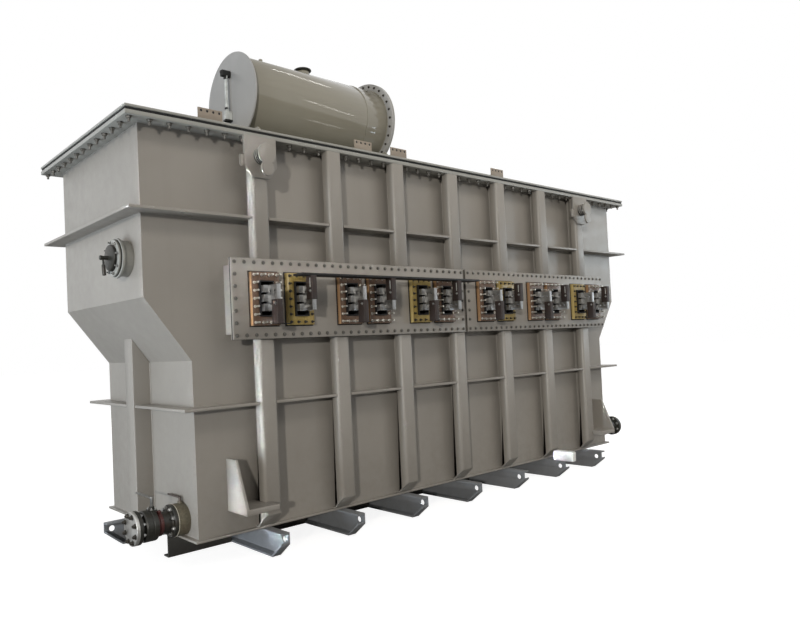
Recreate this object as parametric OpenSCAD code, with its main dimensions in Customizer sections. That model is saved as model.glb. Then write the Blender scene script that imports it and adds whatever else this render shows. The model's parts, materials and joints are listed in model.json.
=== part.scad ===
// Power transformer in a stepped, ribbed oil tank: bolted cover with an expansion vessel,
// two low-voltage terminal panels, lifting trunnions, jacking brackets and a beam base.
// X runs along the tank, the terminal side faces -Y, Z is up and z = 0 is the floor.

/* [Tank] */
// Outer length of the upper part of the tank
tank_l = 5240; // [5000:10:5600]
// Outer length of the narrower lower part
lower_l = 4660; // [4480:10:4900]
// Outer width of the tank over its long walls
tank_w = 1340; // [1240:10:1440]
// Height from the underside of the base plate to the rim
tank_h = 2492; // [2400:1:2600]
// Thickness of the tank walls
wall_t = 10; // [6:1:16]
// Height at which the sloping shoulder starts
shoulder_low = 1088; // [1000:1:1150]
// Height at which the sloping shoulder ends
shoulder_high = 1473; // [1420:1:1540]
// Thickness of the base plate
base_t = 14; // [10:1:16]
// How far the base plate projects past the walls
base_lip = 30; // [15:1:60]

/* [Rim and cover] */
// Width of the rim outside the walls
rim_w = 120; // [95:1:140]
// Thickness of the rim plate
rim_t = 26; // [16:1:40]
// Thickness of the rubber gasket
gasket_t = 16; // [8:1:20]
// How far the gasket stays inside the edge of the rim
gasket_inset = 6; // [2:1:12]
// Thickness of the cover plate
cover_t = 16; // [12:1:30]

/* [Stiffeners and belts] */
// Number of upright stiffeners on each long wall
stiffener_n = 7; // [5:1:7]
// Distance between stiffeners
stiffener_pitch = 622; // [560:1:660]
// Width of a stiffener
stiffener_w = 128; // [100:1:150]
// How far a stiffener stands out of the wall
stiffener_p = 122; // [118:1:150]
// Plate thickness of the folded stiffeners
stiffener_t = 8; // [5:1:12]
// Outer radius of the bends along a stiffener's front
bend_r = 24; // [16:1:30]
// Height of the sloping foot of a stiffener
foot_h = 85; // [60:1:110]
// Depth that is left at the toe of the foot
toe_p = 28; // [14:1:40]
// Depth of a stiffener's folded sides
lip_p = 63; // [40:1:80]
// Thickness of the web plate between a stiffener and the wall
rib_t = 14; // [8:1:20]
// How far the horizontal belts stand out of the walls
belt_p = 115; // [90:1:117]
// Thickness of the belts
belt_t = 18; // [8:1:24]
// Height of the top of the upper belt
upper_belt_z = 1984; // [1900:1:2050]
// Height of the top of the lower belt
lower_belt_z = 809; // [700:1:900]

/* [Beam base] */
// Height of the beams
beam_h = 160; // [140:1:200]
// Width of the beam flanges
beam_w = 65; // [50:1:80]
// Web thickness of the beams
web_t = 9; // [6:1:12]
// Flange thickness of the beams
beam_flange_t = 11; // [8:1:14]
// Length of a cross beam
beam_l = 1810; // [1740:10:1900]
// Height of the square end of a beam above its sloping cut
beam_end_h = 72; // [68:1:85]
// Length of the sloping cut under a beam end
beam_cut_l = 108; // [90:1:140]
// Radius of the haul holes
haul_r = 20; // [12:0.5:22]
// Distance of a haul hole from the beam end
haul_in = 55; // [50:1:65]
// Distance of a haul hole below the top of the beam
haul_drop = 50; // [40:1:54]
// Distance of the lengthwise skids from the centre line
skid_y = 270; // [200:10:400]
// How far the rear skid reaches past the base plate
skid_reach = 188; // [160:1:260]

/* [Terminal panels] */
// Distance of the first panel's left edge from the middle
panel_left = 2125; // [2000:5:2200]
// Length of the first panel
panel_1_l = 2150; // [2100:5:2200]
// Length of the second panel
panel_2_l = 2100; // [2050:5:2150]
// Gap between the panels
panel_gap = 35; // [15:1:60]
// Height of a panel
panel_h = 505; // [480:1:560]
// Height of the panels' lower edge above the tank's underside
panel_z = 1204; // [1150:1:1260]
// Thickness of a panel
panel_t = 16; // [8:1:25]
// How far a panel overlaps its collar
collar_in = 35; // [20:1:45]
// Plate thickness of the collar
collar_t = 12; // [8:1:16]
// Thickness of the collar's flange
collar_flange_t = 14; // [10:1:20]

/* [Terminals] */
// Distance of the first board from the panel's left edge
board_in = 124; // [80:1:140]
// Width of an insulating board
board_w = 205; // [180:1:240]
// Height of an insulating board
board_h = 334; // [310:1:360]
// Thickness of an insulating board
board_t = 32; // [20:1:40]
// How far the boards sit below the middle of the panel
board_drop = 2; // [0:1:20]
// Distance between the two boards of a pair
board_pitch = 268; // [250:1:290]
// Distance between pairs of boards
pair_pitch = 700; // [660:1:710]
// Width of the opening in a board
window_w = 105; // [90:1:120]
// Height of the opening in a board
window_h = 224; // [200:1:260]
// Width of a conductor block
block_w = 90; // [60:1:98]
// How far the conductor blocks stand out of the board
block_out = 46; // [30:1:70]
// Height of the slots between the conductor blocks
block_slot = 14; // [8:1:20]
// Thickness of a terminal palm
palm_t = 30; // [16:1:34]
// Height of a terminal palm
palm_h = 160; // [150:1:190]
// How far the palms stand out of the board
palm_out = 142; // [130:1:180]
// Radius of the bolt holes in the palms
palm_hole_r = 7; // [5:0.5:9]
// Distance between the two bolt holes of a row
palm_hole_pitch = 44; // [36:1:54]
// Distance of the outer bolt hole from the palm's end
palm_edge = 28; // [20:1:36]
// Thickness of an insulating boot
boot_t = 42; // [40:1:60]
// Depth of an insulating boot
boot_d = 62; // [50:1:80]
// Height of an insulating boot
boot_h = 152; // [130:1:165]
// How far a boot covers the end of its palm
boot_cover = 8; // [6:1:16]
// How far the split between low and high boots lies below the middle of the boards
boot_drop = 12; // [0:1:20]
// Play between a boot and its palm
boot_play = 0.4; // [0.2:0.1:0.9]
// Thickness of the tie strip on the boots
strip_t = 14; // [8:1:18]
// Depth of the tie strip
strip_d = 100; // [80:1:120]
// How far the tie strip runs past the first boot
strip_over = 70; // [40:5:90]
// How far the tie strip runs past the last boot
strip_past = 219; // [180:1:240]

/* [Expansion vessel] */
// Outer diameter of the vessel
vessel_d = 610; // [580:5:640]
// Length of the vessel's shell
vessel_l = 1240; // [1100:10:1400]
// Distance of the vessel's left end from the middle of the tank
vessel_left = 1710; // [1600:10:1850]
// Distance of the vessel's axis behind the front wall
vessel_in = 430; // [380:5:500]
// Height of the vessel's axis above the cover
vessel_up = 387; // [375:1:420]
// Wall thickness of the vessel
vessel_t = 6; // [4:1:10]
// Width of the vessel's bolted ring outside the shell
vessel_ring_w = 55; // [40:1:60]
// Thickness of the vessel's ring
vessel_ring_t = 20; // [12:1:25]
// Thickness of the vessel's end plates
vessel_end_t = 12; // [8:1:20]
// How far the left end plate stands out over the shell
vessel_lip = 25; // [15:1:35]
// Thickness of a saddle plate
saddle_t = 14; // [8:1:20]
// Height of a saddle's ends above the cover
saddle_h = 100; // [96:1:140]
// Width of a saddle
saddle_w = 712; // [600:1:740]
// Distance of the right saddle from the vessel's ring
saddle_in = 65; // [60:1:150]
// Radius of the filler neck
neck_r = 52; // [40:1:60]
// Height of the filler neck above the shell
neck_h = 38; // [30:1:70]
// Distance of the filler neck from the vessel's left end
neck_in = 640; // [560:5:720]
// Radius of the filler cap
cap_r = 69; // [62:1:85]
// Height of the filler cap
cap_h = 20; // [12:1:30]

/* [Lifting and jacking] */
// Width of a trunnion's bracket
trunnion_w = 240; // [200:1:260]
// Height of a trunnion's bracket
trunnion_h = 265; // [240:1:300]
// Thickness of a trunnion's bracket
trunnion_t = 20; // [12:1:30]
// Radius of the trunnion
trunnion_r = 52; // [40:1:60]
// Length of the trunnion between its bracket and end plate
trunnion_l = 62; // [50:1:90]
// Radius of the end plate
keeper_r = 66; // [60:1:80]
// Radius of the end plate's lower lobe
lobe_r = 48; // [40:1:55]
// Distance from the trunnion's axis down to the lower lobe
lobe_drop = 92; // [80:1:105]
// Depth of the trunnion's axis under the rim
trunnion_drop = 125; // [115:1:145]
// Height of the bevels at the foot of a trunnion's bracket
trunnion_bevel = 75; // [50:1:90]
// Thickness of a trunnion's end plate
keeper_t = 16; // [10:1:24]
// Length of a jacking plate beside the stiffener
jack_l = 196; // [170:1:240]
// Depth of a jacking plate
jack_d = 225; // [200:5:250]
// Thickness of a jacking plate
jack_t = 36; // [20:1:40]
// How far a jacking plate laps over the front of its stiffener
jack_lap = 40; // [32:1:90]
// Height of a jacking plate above the tank's underside
jack_z = 150; // [140:1:180]
// Height of the gusset above its plate
gusset_h = 288; // [250:1:350]
// Depth of the gusset at its top
gusset_top = 110; // [90:5:180]
// Thickness of the gusset
gusset_t = 20; // [12:1:25]

/* [Fittings] */
// Distance of the valves' axis behind the front wall
valve_in = 190; // [140:5:240]
// Height of the drain valve's axis above the tank's underside
drain_up = 116; // [116:1:140]
// Length of the filter valve with its pipe, from the wall
filter_l = 510; // [400:5:560]
// Radius of the valve flanges
valve_r = 100; // [90:1:110]
// Thickness of the valve flanges
valve_flange_t = 22; // [16:1:26]
// Length of the isolating valve at the wall
wafer_l = 78; // [60:1:90]
// Distance of the isolating valve's stem from the wall
wafer_stem = 22; // [18:1:30]
// Length from the isolating valve to the stem of the drain valve
tail_l = 127; // [120:1:150]
// Length from the stem of the drain valve to its outer flange
nose_l = 92; // [85:1:110]
// Length of the drain valve's black body outside the collar
body_l = 82; // [65:1:88]
// Distance from the stem back to the outer face of the coloured collar
collar_back = 11; // [6:1:16]
// Width of the coloured collar on the drain valve
collar_ring_l = 36; // [28:1:50]
// Radius of the lever stems
stem_r = 9; // [7:0.5:10]
// Running clearance of a lever stem
stem_play = 0.08; // [0.02:0.01:0.1]
// Length of the drain valve's lever
drain_lever_l = 220; // [180:5:260]
// Height of the drain valve's lever above the valve axis
drain_lever_up = 160; // [158:1:180]
// Length of the isolating valve's lever
isolating_lever_l = 166; // [120:1:168]
// Height of the isolating valve's lever above the valve axis
isolating_lever_up = 124; // [122:1:127]
// Height of the drain valve's lever above its gland
drain_rise = 49; // [44:1:52]
// Width of the drain valve's lever
drain_arm_w = 26; // [20:1:30]
// Thickness of the drain valve's lever
drain_arm_t = 6; // [5:1:10]
// Height of the isolating valve's lever above its gland
isolating_rise = 14; // [10:1:18]
// Width and thickness of the isolating valve's lever
isolating_arm = 13; // [10:1:14]
// Distance from the upper belt down to the relief device's flange
relief_drop = 124; // [60:1:150]
// Distance of the relief device's axis behind the front wall
relief_in = 220; // [180:5:280]
// Radius of the relief device's flange
relief_r = 120; // [110:1:130]
// Length of the relief device's pipe stub
relief_stub_l = 72; // [45:1:90]
// Length of a lug plate on the cover
lug_l = 165; // [140:1:190]
// Height of a lug plate
lug_h = 65; // [55:1:90]
// Thickness of a lug plate
lug_t = 8; // [5:1:12]
// Radius of the holes in a lug plate
lug_hole_r = 8; // [4:0.5:9]
// Distance of the outer lug plate from the middle
lug_outer = 2200; // [2000:5:2400]
// Distance of the second lug plate from the middle
lug_second = 960; // [850:5:1100]
// Distance of the two inner lug plates from the middle
lug_inner = 600; // [450:5:700]
// Distance of the lug holes below the top of their plate
lug_hole_drop = 17; // [12:1:22]
// Length of the earthing block on a cross beam
earth_l = 200; // [150:5:220]
// Width of the earthing block
earth_w = 88; // [70:1:100]
// Height of the earthing block
earth_h = 82; // [60:1:95]

/* [Hidden] */
$fn = 64;

cut = 1;                      // overshoot of cutting shapes
tank_z = beam_h;              // underside of the base plate
wall_z = tank_z + base_t;     // lower edge of the walls
rim_z = tank_z + tank_h;
gasket_z = rim_z + rim_t;
cover_z = gasket_z + gasket_t;
top_z = cover_z + cover_t;    // upper face of the cover
half_w = tank_w / 2;
half_l = tank_l / 2;
half_low = lower_l / 2;
shoulder_run = half_l - half_low;
shoulder_rise = shoulder_high - shoulder_low;
front_p = half_w + stiffener_p;                 // front plane of the stiffeners
stiffener_x = [for (i = [0:stiffener_n - 1]) (i - (stiffener_n - 1) / 2) * stiffener_pitch];
last_x = stiffener_x[stiffener_n - 1];
rise_end = beam_h - beam_end_h;
cut_slope = sqrt(pow(beam_cut_l, 2) + pow(rise_end, 2)) / beam_cut_l;

collar_low = tank_z + panel_z + collar_in;      // outside of the collars
collar_high = tank_z + panel_z + panel_h - collar_in;
panel_back = front_p + collar_flange_t;
board_back = panel_back + panel_t;
board_face = board_back + board_t;
board_mid = tank_z + panel_z + panel_h / 2 - board_drop;
panel_x = [-panel_left, -panel_left + panel_1_l + panel_gap];
panel_len = [panel_1_l, panel_2_l];
// Left edges of the boards, in pairs along each panel
board_x = [for (p = panel_x) for (k = [0:2]) for (side = [0, 1])
    p + board_in + k * pair_pitch + side * board_pitch];
yellow = [1, 4, 7, 10];
brown = [0, 2, 3, 5, 6, 8, 9, 11];
boot_front = board_face + palm_out + boot_cover;
boot_split = board_mid - boot_drop;
strip_low = boot_split + boot_h;

vessel_r = vessel_d / 2;
vessel_end_r = vessel_r + vessel_lip;
vessel_z = top_z + vessel_up;
ring_x = -vessel_left + vessel_l;               // inner face of the vessel's ring
vessel_y = vessel_in - half_w;
valve_y = valve_in - half_w;
drain_z = tank_z + drain_up;
relief_y = relief_in - half_w;
relief_z = tank_z + upper_belt_z - belt_t - relief_drop - relief_r;
lug_set = 6;                                    // lug plates stay this far inside the cover's edge
lug_x = [-lug_outer, -lug_second, -lug_inner, lug_inner];
wafer_x = half_low + wafer_stem;                // stem of the isolating valve
tail_x = half_low + wafer_l;
drain_x = tail_x + tail_l;                      // stem of the drain valve
nose_x = drain_x + nose_l;
blank_x = nose_x + valve_flange_t;
collar_x = drain_x - collar_back;               // outer face of the coloured collar
drain_gland = drain_lever_up - drain_rise;      // tops of the glands above the valve axis
wafer_gland = isolating_lever_up - isolating_rise;
socket_d = 22;                                  // depth of the stem sockets in the glands
stem_lift = 0.5;                                // play under a stem
collar_set = 24;                                // coloured collar inside the flanges
wafer_r = valve_r - 2;
throat_r = 65;                                  // necks of the valves
seat_play = 0.2;                                // play along curved seats

paint = [0.66, 0.67, 0.64];
dark = [0.12, 0.12, 0.12];
tinned = [0.75, 0.75, 0.74];

// Side outline of a beam of length l, with a sloping cut at the ends named in ends
function beam_outline(l, ends) = concat(
    [[-l / 2, beam_h], [l / 2, beam_h]],
    ends[1] ? [[l / 2, rise_end], [l / 2 - beam_cut_l, 0]] : [[l / 2, 0]],
    ends[0] ? [[-l / 2 + beam_cut_l, 0], [-l / 2, rise_end]] : [[-l / 2, 0]]
);

// Outline of the hollow between a beam's flanges, open at both ends
function beam_hollow(l, ends) =
    let (t = beam_flange_t,
         slope = rise_end / beam_cut_l,
         inner = l / 2 - beam_cut_l + t * (1 - cut_slope) / slope,
         tip = rise_end + t * cut_slope + cut * slope)
    concat(
        [[-l / 2 - cut, beam_h - t], [l / 2 + cut, beam_h - t]],
        ends[1] ? [[l / 2 + cut, tip], [inner, t]] : [[l / 2 + cut, t]],
        ends[0] ? [[-inner, t], [-l / 2 - cut, tip]] : [[-l / 2 - cut, t]]
    );

// Channel along X with its web on the -Y side and haul holes at its cut ends
module beam(l, ends) {
    web_y = (web_t - beam_w) / 2;
    difference() {
        rotate([90, 0, 0]) union() {
            linear_extrude(beam_w, center = true) difference() {
                polygon(beam_outline(l, ends));
                polygon(beam_hollow(l, ends));
            }
            translate([0, 0, -web_y]) linear_extrude(web_t, center = true) polygon(beam_outline(l, ends));
        }
        for (side = [0, 1])
            if (ends[side])
                translate([(side * 2 - 1) * (l / 2 - haul_in), web_y, beam_h - haul_drop])
                    rotate([90, 0, 0]) cylinder(h = web_t + 2 * cut, r = haul_r, center = true);
    }
}

module cross_beams() {
    color(paint) for (x = stiffener_x) translate([x, 0, 0])
        mirror([x > 0 ? 1 : 0, 0, 0]) rotate([0, 0, 90]) beam(beam_l, [true, true]);
}

// Lengthwise skid fitted between the cross beams, with end pieces out to x = reach
module skid(y, reach, haul) {
    bay = stiffener_pitch - beam_w;
    stub = reach - last_x - beam_w / 2;
    color(paint) translate([0, y, 0]) {
        for (i = [0:stiffener_n - 2])
            translate([(stiffener_x[i] + stiffener_x[i + 1]) / 2, 0, 0]) beam(bay, [false, false]);
        for (side = [0, 1])
            mirror([side, 0, 0]) translate([reach - stub / 2, 0, 0]) beam(stub, [false, haul]);
    }
}

module front_skid() skid(-skid_y, half_low + base_lip, false);
module rear_skid() mirror([0, 1, 0]) skid(-skid_y, half_low + base_lip + skid_reach, true);

module base_plate() {
    color(paint) translate([-half_low - base_lip, -half_w - base_lip, tank_z])
        cube([lower_l + 2 * base_lip, tank_w + 2 * base_lip, base_t]);
}

// Stepped long wall, standing on the base plate
module long_wall() {
    rotate([90, 0, 0]) linear_extrude(wall_t) polygon([
        [-half_low, wall_z], [half_low, wall_z], [half_low, tank_z + shoulder_low],
        [half_l, tank_z + shoulder_high], [half_l, rim_z], [-half_l, rim_z],
        [-half_l, tank_z + shoulder_high], [-half_low, tank_z + shoulder_low]
    ]);
}

module front_wall() color(paint) translate([0, -half_w + wall_t, 0]) long_wall();
module rear_wall() color(paint) translate([0, half_w, 0]) long_wall();

// Folded end wall between the long walls
module end_wall() {
    lift = wall_t * (sqrt(pow(shoulder_run, 2) + pow(shoulder_rise, 2)) - shoulder_rise) / shoulder_run;
    rotate([90, 0, 0]) linear_extrude(tank_w - 2 * wall_t, center = true) polygon([
        [half_low, wall_z], [half_low, tank_z + shoulder_low],
        [half_l, tank_z + shoulder_high], [half_l, rim_z], [half_l - wall_t, rim_z],
        [half_l - wall_t, tank_z + shoulder_high + lift],
        [half_low - wall_t, tank_z + shoulder_low + lift], [half_low - wall_t, wall_z]
    ]);
}

module left_end_wall() color(paint) mirror([1, 0, 0]) end_wall();
module right_end_wall() color(paint) end_wall();

// Flat frame around the tank's mouth, inset from the edge of the rim
module mouth_frame(inset, t) {
    linear_extrude(t) difference() {
        square([tank_l + 2 * (rim_w - inset), tank_w + 2 * (rim_w - inset)], center = true);
        square([tank_l - 2 * wall_t, tank_w - 2 * wall_t], center = true);
    }
}

module rim() color(paint) translate([0, 0, rim_z]) mouth_frame(0, rim_t);
module cover_gasket() color(dark) translate([0, 0, gasket_z]) mouth_frame(gasket_inset, gasket_t);

module cover() {
    color(paint) translate([-half_l - rim_w, -half_w - rim_w, cover_z])
        cube([tank_l + 2 * rim_w, tank_w + 2 * rim_w, cover_t]);
}

// Side outline o pulled to the width w, facing -Y, with bends of radius r along the front at depth p
module bent_shape(o, w, p, r, low, high) {
    tall = high - low + 2 * cut;
    difference() {
        rotate([90, 0, -90]) linear_extrude(w, center = true) polygon(o);
        for (side = [0, 1]) mirror([side, 0, 0]) translate([w / 2 - r, r - p, low - cut]) difference() {
            translate([0, -r - cut, 0]) cube([r + cut, r + cut, tall]);
            translate([0, 0, -cut]) cylinder(h = tall + 2 * cut, r = r);
        }
    }
}

// Folded stiffener from z = low to z = high on an upright web plate, facing -Y at the origin
module stiffener(low, high, foot) {
    t = stiffener_t;
    run = stiffener_p - toe_p;
    lean = sqrt(pow(run, 2) + pow(foot_h, 2)) / run;
    toe_in = toe_p + t * (1 - lean) * run / foot_h;
    slot = stiffener_p - lip_p;
    outside = foot
        ? [[0, low], [toe_p, low], [stiffener_p, low + foot_h], [stiffener_p, high], [0, high]]
        : [[0, low], [stiffener_p, low], [stiffener_p, high], [0, high]];
    inside = foot
        ? [[-cut, low + t], [toe_in, low + t],
           [stiffener_p - t, low + foot_h - t * foot_h / run + t * lean],
           [stiffener_p - t, high + cut], [-cut, high + cut]]
        : [[-cut, low - cut], [stiffener_p - t, low - cut], [stiffener_p - t, high + cut], [-cut, high + cut]];
    behind = foot
        ? [[-cut, low + t], [toe_in, low + t], [slot, low + t + (slot - toe_in) * foot_h / run],
           [slot, high + cut], [-cut, high + cut]]
        : [[-cut, low - cut], [slot, low - cut], [slot, high + cut], [-cut, high + cut]];
    difference() {
        bent_shape(outside, stiffener_w, stiffener_p, bend_r, low, high);
        bent_shape(inside, stiffener_w - 2 * t, stiffener_p - t, bend_r - t, low - cut, high + cut);
        rotate([90, 0, -90]) linear_extrude(stiffener_w + 2 * cut, center = true) polygon(behind);
    }
    rotate([90, 0, -90]) linear_extrude(rib_t, center = true) polygon(outside);
}

module front_stiffeners() {
    color(paint) for (x = stiffener_x) translate([x, -half_w, 0]) {
        stiffener(wall_z, collar_low, true);
        stiffener(collar_high, rim_z, false);
    }
}

module rear_stiffeners() {
    color(paint) for (x = stiffener_x)
        translate([x, half_w, 0]) rotate([0, 0, 180]) stiffener(wall_z, rim_z, true);
}

// Upright rib under the shoulder of an end wall
module end_rib() {
    t = stiffener_t;
    grade = shoulder_rise / shoulder_run;
    top = tank_z + shoulder_low;
    rotate([90, 0, 0]) difference() {
        linear_extrude(stiffener_w, center = true) polygon([
            [half_low, wall_z], [half_low + stiffener_p, wall_z],
            [half_low + stiffener_p, top + stiffener_p * grade], [half_low, top]
        ]);
        linear_extrude(stiffener_w - 2 * t, center = true) polygon([
            [half_low - cut, wall_z + t], [half_low + stiffener_p - t, wall_z + t],
            [half_low + stiffener_p - t, top + (stiffener_p - t) * grade + cut], [half_low - cut, top + cut]
        ]);
    }
}

module end_ribs() color(paint) for (side = [0, 1]) mirror([side, 0, 0]) end_rib();

// Belt pieces between the stiffeners of both long walls
module belt_bays() {
    bay = stiffener_pitch - stiffener_w;
    for (i = [0:stiffener_n - 2])
        for (side = [-1, 1])
            translate([stiffener_x[i] + stiffener_w / 2, side < 0 ? -half_w - belt_p : half_w, 0])
                cube([bay, belt_p, belt_t]);
}

// Belt piece around one end of the tank, at half length l
module belt_end(l) {
    start = last_x + stiffener_w / 2;
    linear_extrude(belt_t) difference() {
        translate([start, -half_w - belt_p]) square([l + belt_p - start, tank_w + 2 * belt_p]);
        translate([start - cut, -half_w]) square([l - start + cut, tank_w]);
    }
}

module upper_belt() {
    color(paint) translate([0, 0, tank_z + upper_belt_z - belt_t]) {
        belt_bays();
        for (side = [0, 1]) mirror([side, 0, 0]) belt_end(half_l);
    }
}

module lower_belt() {
    color(paint) translate([0, 0, tank_z + lower_belt_z - belt_t]) {
        belt_bays();
        for (side = [0, 1]) mirror([side, 0, 0]) difference() {
            belt_end(half_low);
            translate([half_low - cut, -stiffener_w / 2, -cut])
                cube([belt_p + 2 * cut, stiffener_w, belt_t + 2 * cut]);
        }
    }
}

// Box collar that carries a panel in front of the wall, with a bolting flange
module panel_collar(x, l) {
    tall = collar_high - collar_low;
    hole = [l - 2 * (collar_in + collar_t), tall - 2 * collar_t];
    translate([x + l / 2, -half_w, (collar_low + collar_high) / 2]) rotate([90, 0, 0]) difference() {
        union() {
            linear_extrude(stiffener_p) square([l - 2 * collar_in, tall], center = true);
            translate([0, 0, stiffener_p]) linear_extrude(collar_flange_t)
                square([l, panel_h], center = true);
        }
        translate([0, 0, -cut]) linear_extrude(stiffener_p + collar_flange_t + 2 * cut)
            square(hole, center = true);
    }
}

module panel_collars() color(paint) for (i = [0, 1]) panel_collar(panel_x[i], panel_len[i]);

module panel(i) {
    color(paint) translate([panel_x[i], -board_back, tank_z + panel_z])
        cube([panel_len[i], panel_t, panel_h]);
}

module left_panel() panel(0);
module right_panel() panel(1);

// Insulating board with its opening
module board(i) {
    translate([board_x[i] + board_w / 2, -board_back, board_mid]) rotate([90, 0, 0])
        linear_extrude(board_t) difference() {
            square([board_w, board_h], center = true);
            square([window_w, window_h], center = true);
        }
}

module brown_boards() color([0.36, 0.22, 0.15]) for (i = brown) board(i);
module yellow_boards() color([0.62, 0.50, 0.22]) for (i = yellow) board(i);

// Three conductor blocks joined by a drilled upright palm
module terminal(i) {
    third = (palm_h - 2 * block_slot) / 3;
    hole_y = board_face + palm_out - palm_edge;
    translate([board_x[i] + board_w / 2, 0, board_mid]) difference() {
        union() {
            for (k = [-1:1])
                translate([-block_w / 2, -board_face - block_out, k * (third + block_slot) - third / 2])
                    cube([block_w, board_t + block_out, third]);
            translate([-palm_t / 2, -board_face - palm_out, -palm_h / 2])
                cube([palm_t, palm_out - block_out / 2, palm_h]);
        }
        for (dy = [0, palm_hole_pitch])
            for (side = [-1, 1])
                translate([0, dy - hole_y, side * palm_h / 4]) rotate([0, 90, 0])
                    cylinder(h = palm_t + 2 * cut, r = palm_hole_r, center = true);
    }
}

module terminals() color(tinned) for (i = [0:11]) terminal(i);

// Boot over the lower half of a palm (up = -1) or its upper half (up = 1)
module boot(i, up) {
    slot = palm_t + 2 * boot_play;
    translate([board_x[i] + board_w / 2, -boot_front, boot_split]) difference() {
        translate([-boot_t / 2, 0, up < 0 ? -boot_h : 0]) cube([boot_t, boot_d, boot_h]);
        translate([-slot / 2, boot_cover - boot_play, boot_drop - palm_h / 2 - boot_play])
            cube([slot, palm_out, palm_h + 2 * boot_play]);
    }
}

module terminal_boots() color([0.2, 0.15, 0.13]) for (i = [0:11]) boot(i, i % 2 == 0 ? -1 : 1);

// Strip that ties the upper boots of the left panel together
module tie_strip() {
    left = board_x[1] + board_w / 2 - boot_t / 2 - strip_over;
    right = board_x[5] + board_w / 2 + boot_t / 2 + strip_past;
    color(dark) translate([left, -boot_front, strip_low]) cube([right - left, strip_d, strip_t]);
}

// Places a shape that is built along Z onto the vessel's axis at x
module on_vessel(x) translate([x, vessel_y, vessel_z]) rotate([0, 90, 0]) children();

module vessel_shell() {
    color(paint) on_vessel(-vessel_left) difference() {
        cylinder(h = vessel_l, r = vessel_r);
        translate([0, 0, -cut]) cylinder(h = vessel_l + 2 * cut, r = vessel_r - vessel_t);
    }
}

module vessel_left_end() {
    color(paint) on_vessel(-vessel_left - vessel_end_t) cylinder(h = vessel_end_t, r = vessel_end_r);
}

module vessel_ring() {
    color(paint) on_vessel(ring_x) difference() {
        cylinder(h = vessel_ring_t, r = vessel_r + vessel_ring_w);
        translate([0, 0, -cut]) cylinder(h = vessel_ring_t + 2 * cut, r = vessel_r - vessel_t);
    }
}

module vessel_cover() {
    color(paint) on_vessel(ring_x + vessel_ring_t) cylinder(h = vessel_end_t, r = vessel_r + vessel_ring_w);
}

// Bevelled saddle plate cut to the radius r above it, on a foot plate
module vessel_saddle(x, r) {
    foot_l = 100;
    foot_t = 12;
    bevel = 25;
    half = saddle_w / 2;
    difference() {
        union() {
            translate([x, vessel_y, top_z]) rotate([90, 0, 90]) linear_extrude(saddle_t, center = true)
                polygon([
                    [-half, 0], [half, 0], [half, saddle_h - bevel], [half - bevel, saddle_h],
                    [bevel - half, saddle_h], [-half, saddle_h - bevel]
                ]);
            translate([x - foot_l / 2, vessel_y - half, top_z]) cube([foot_l, saddle_w, foot_t]);
        }
        on_vessel(x - foot_l) cylinder(h = 2 * foot_l, r = r + seat_play);
    }
}

module vessel_saddles() {
    color(paint) {
        vessel_saddle(-vessel_left - vessel_end_t / 2, vessel_end_r);
        vessel_saddle(ring_x - saddle_in, vessel_r);
    }
}

module filler_neck() {
    color(paint) difference() {
        translate([-vessel_left + neck_in, vessel_y, vessel_z]) cylinder(h = vessel_r + neck_h, r = neck_r);
        on_vessel(-vessel_left) cylinder(h = vessel_l, r = vessel_r + seat_play);
        translate([-vessel_left + neck_in - neck_r, vessel_y - neck_r, vessel_z - vessel_r])
            cube([2 * neck_r, 2 * neck_r, vessel_r]);
    }
}

module filler_cap() {
    color(dark) translate([-vessel_left + neck_in, vessel_y, vessel_z + vessel_r + neck_h])
        cylinder(h = cap_h, r = cap_r);
}

// Sight tube between two blocks on the vessel's left end
module level_gauge() {
    head = [72, 36, 46];
    foot = [56, 34, 30];
    head_z = 180;
    foot_z = -150;
    tube_r = 11;
    tube_out = 34;
    gauge_set = 5;
    color(tinned) translate([-vessel_left - vessel_end_t, vessel_y + gauge_set, vessel_z]) {
        translate([-head[0], -head[1] / 2, head_z - head[2] / 2]) cube(head);
        translate([-foot[0], -foot[1] / 2, foot_z - foot[2] / 2]) cube(foot);
        translate([-tube_out, 0, foot_z]) cylinder(h = head_z - foot_z, r = tube_r);
    }
}

// Drilled angle on the front edge of the cover
module cover_lug(x) {
    foot = 50;
    hole_step = lug_l / 4;
    translate([x, lug_set - half_w - rim_w, top_z]) difference() {
        translate([-lug_l / 2, 0, 0]) union() {
            cube([lug_l, lug_t, lug_h]);
            cube([lug_l, foot, lug_t]);
        }
        for (k = [-1.5:1:1.5])
            translate([k * hole_step, lug_t / 2, lug_h - lug_hole_drop]) rotate([90, 0, 0])
                cylinder(h = lug_t + 2 * cut, r = lug_hole_r, center = true);
    }
}

module cover_lugs() color([0.55, 0.47, 0.42]) for (x = lug_x) cover_lug(x);

// Lifting trunnion on the face of a stiffener, at the origin, facing -Y
module trunnion() {
    low = trunnion_h - trunnion_drop;
    bevel = [(trunnion_w - stiffener_w) / 2, trunnion_bevel];
    rotate([90, 0, 0]) {
        linear_extrude(trunnion_t) polygon([
            [-trunnion_w / 2, trunnion_drop], [trunnion_w / 2, trunnion_drop],
            [trunnion_w / 2, bevel[1] - low], [trunnion_w / 2 - bevel[0], -low],
            [bevel[0] - trunnion_w / 2, -low], [-trunnion_w / 2, bevel[1] - low]
        ]);
        cylinder(h = trunnion_t + trunnion_l + keeper_t, r = trunnion_r);
        translate([0, 0, trunnion_t + trunnion_l]) {
            cylinder(h = keeper_t, r = keeper_r);
            translate([0, -lobe_drop, 0]) cylinder(h = keeper_t, r = lobe_r);
        }
    }
}

module trunnions() {
    color(paint) for (turn = [0, 180]) rotate([0, 0, turn])
        for (x = [-last_x, last_x]) translate([x, -front_p, rim_z - trunnion_drop]) trunnion();
}

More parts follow.
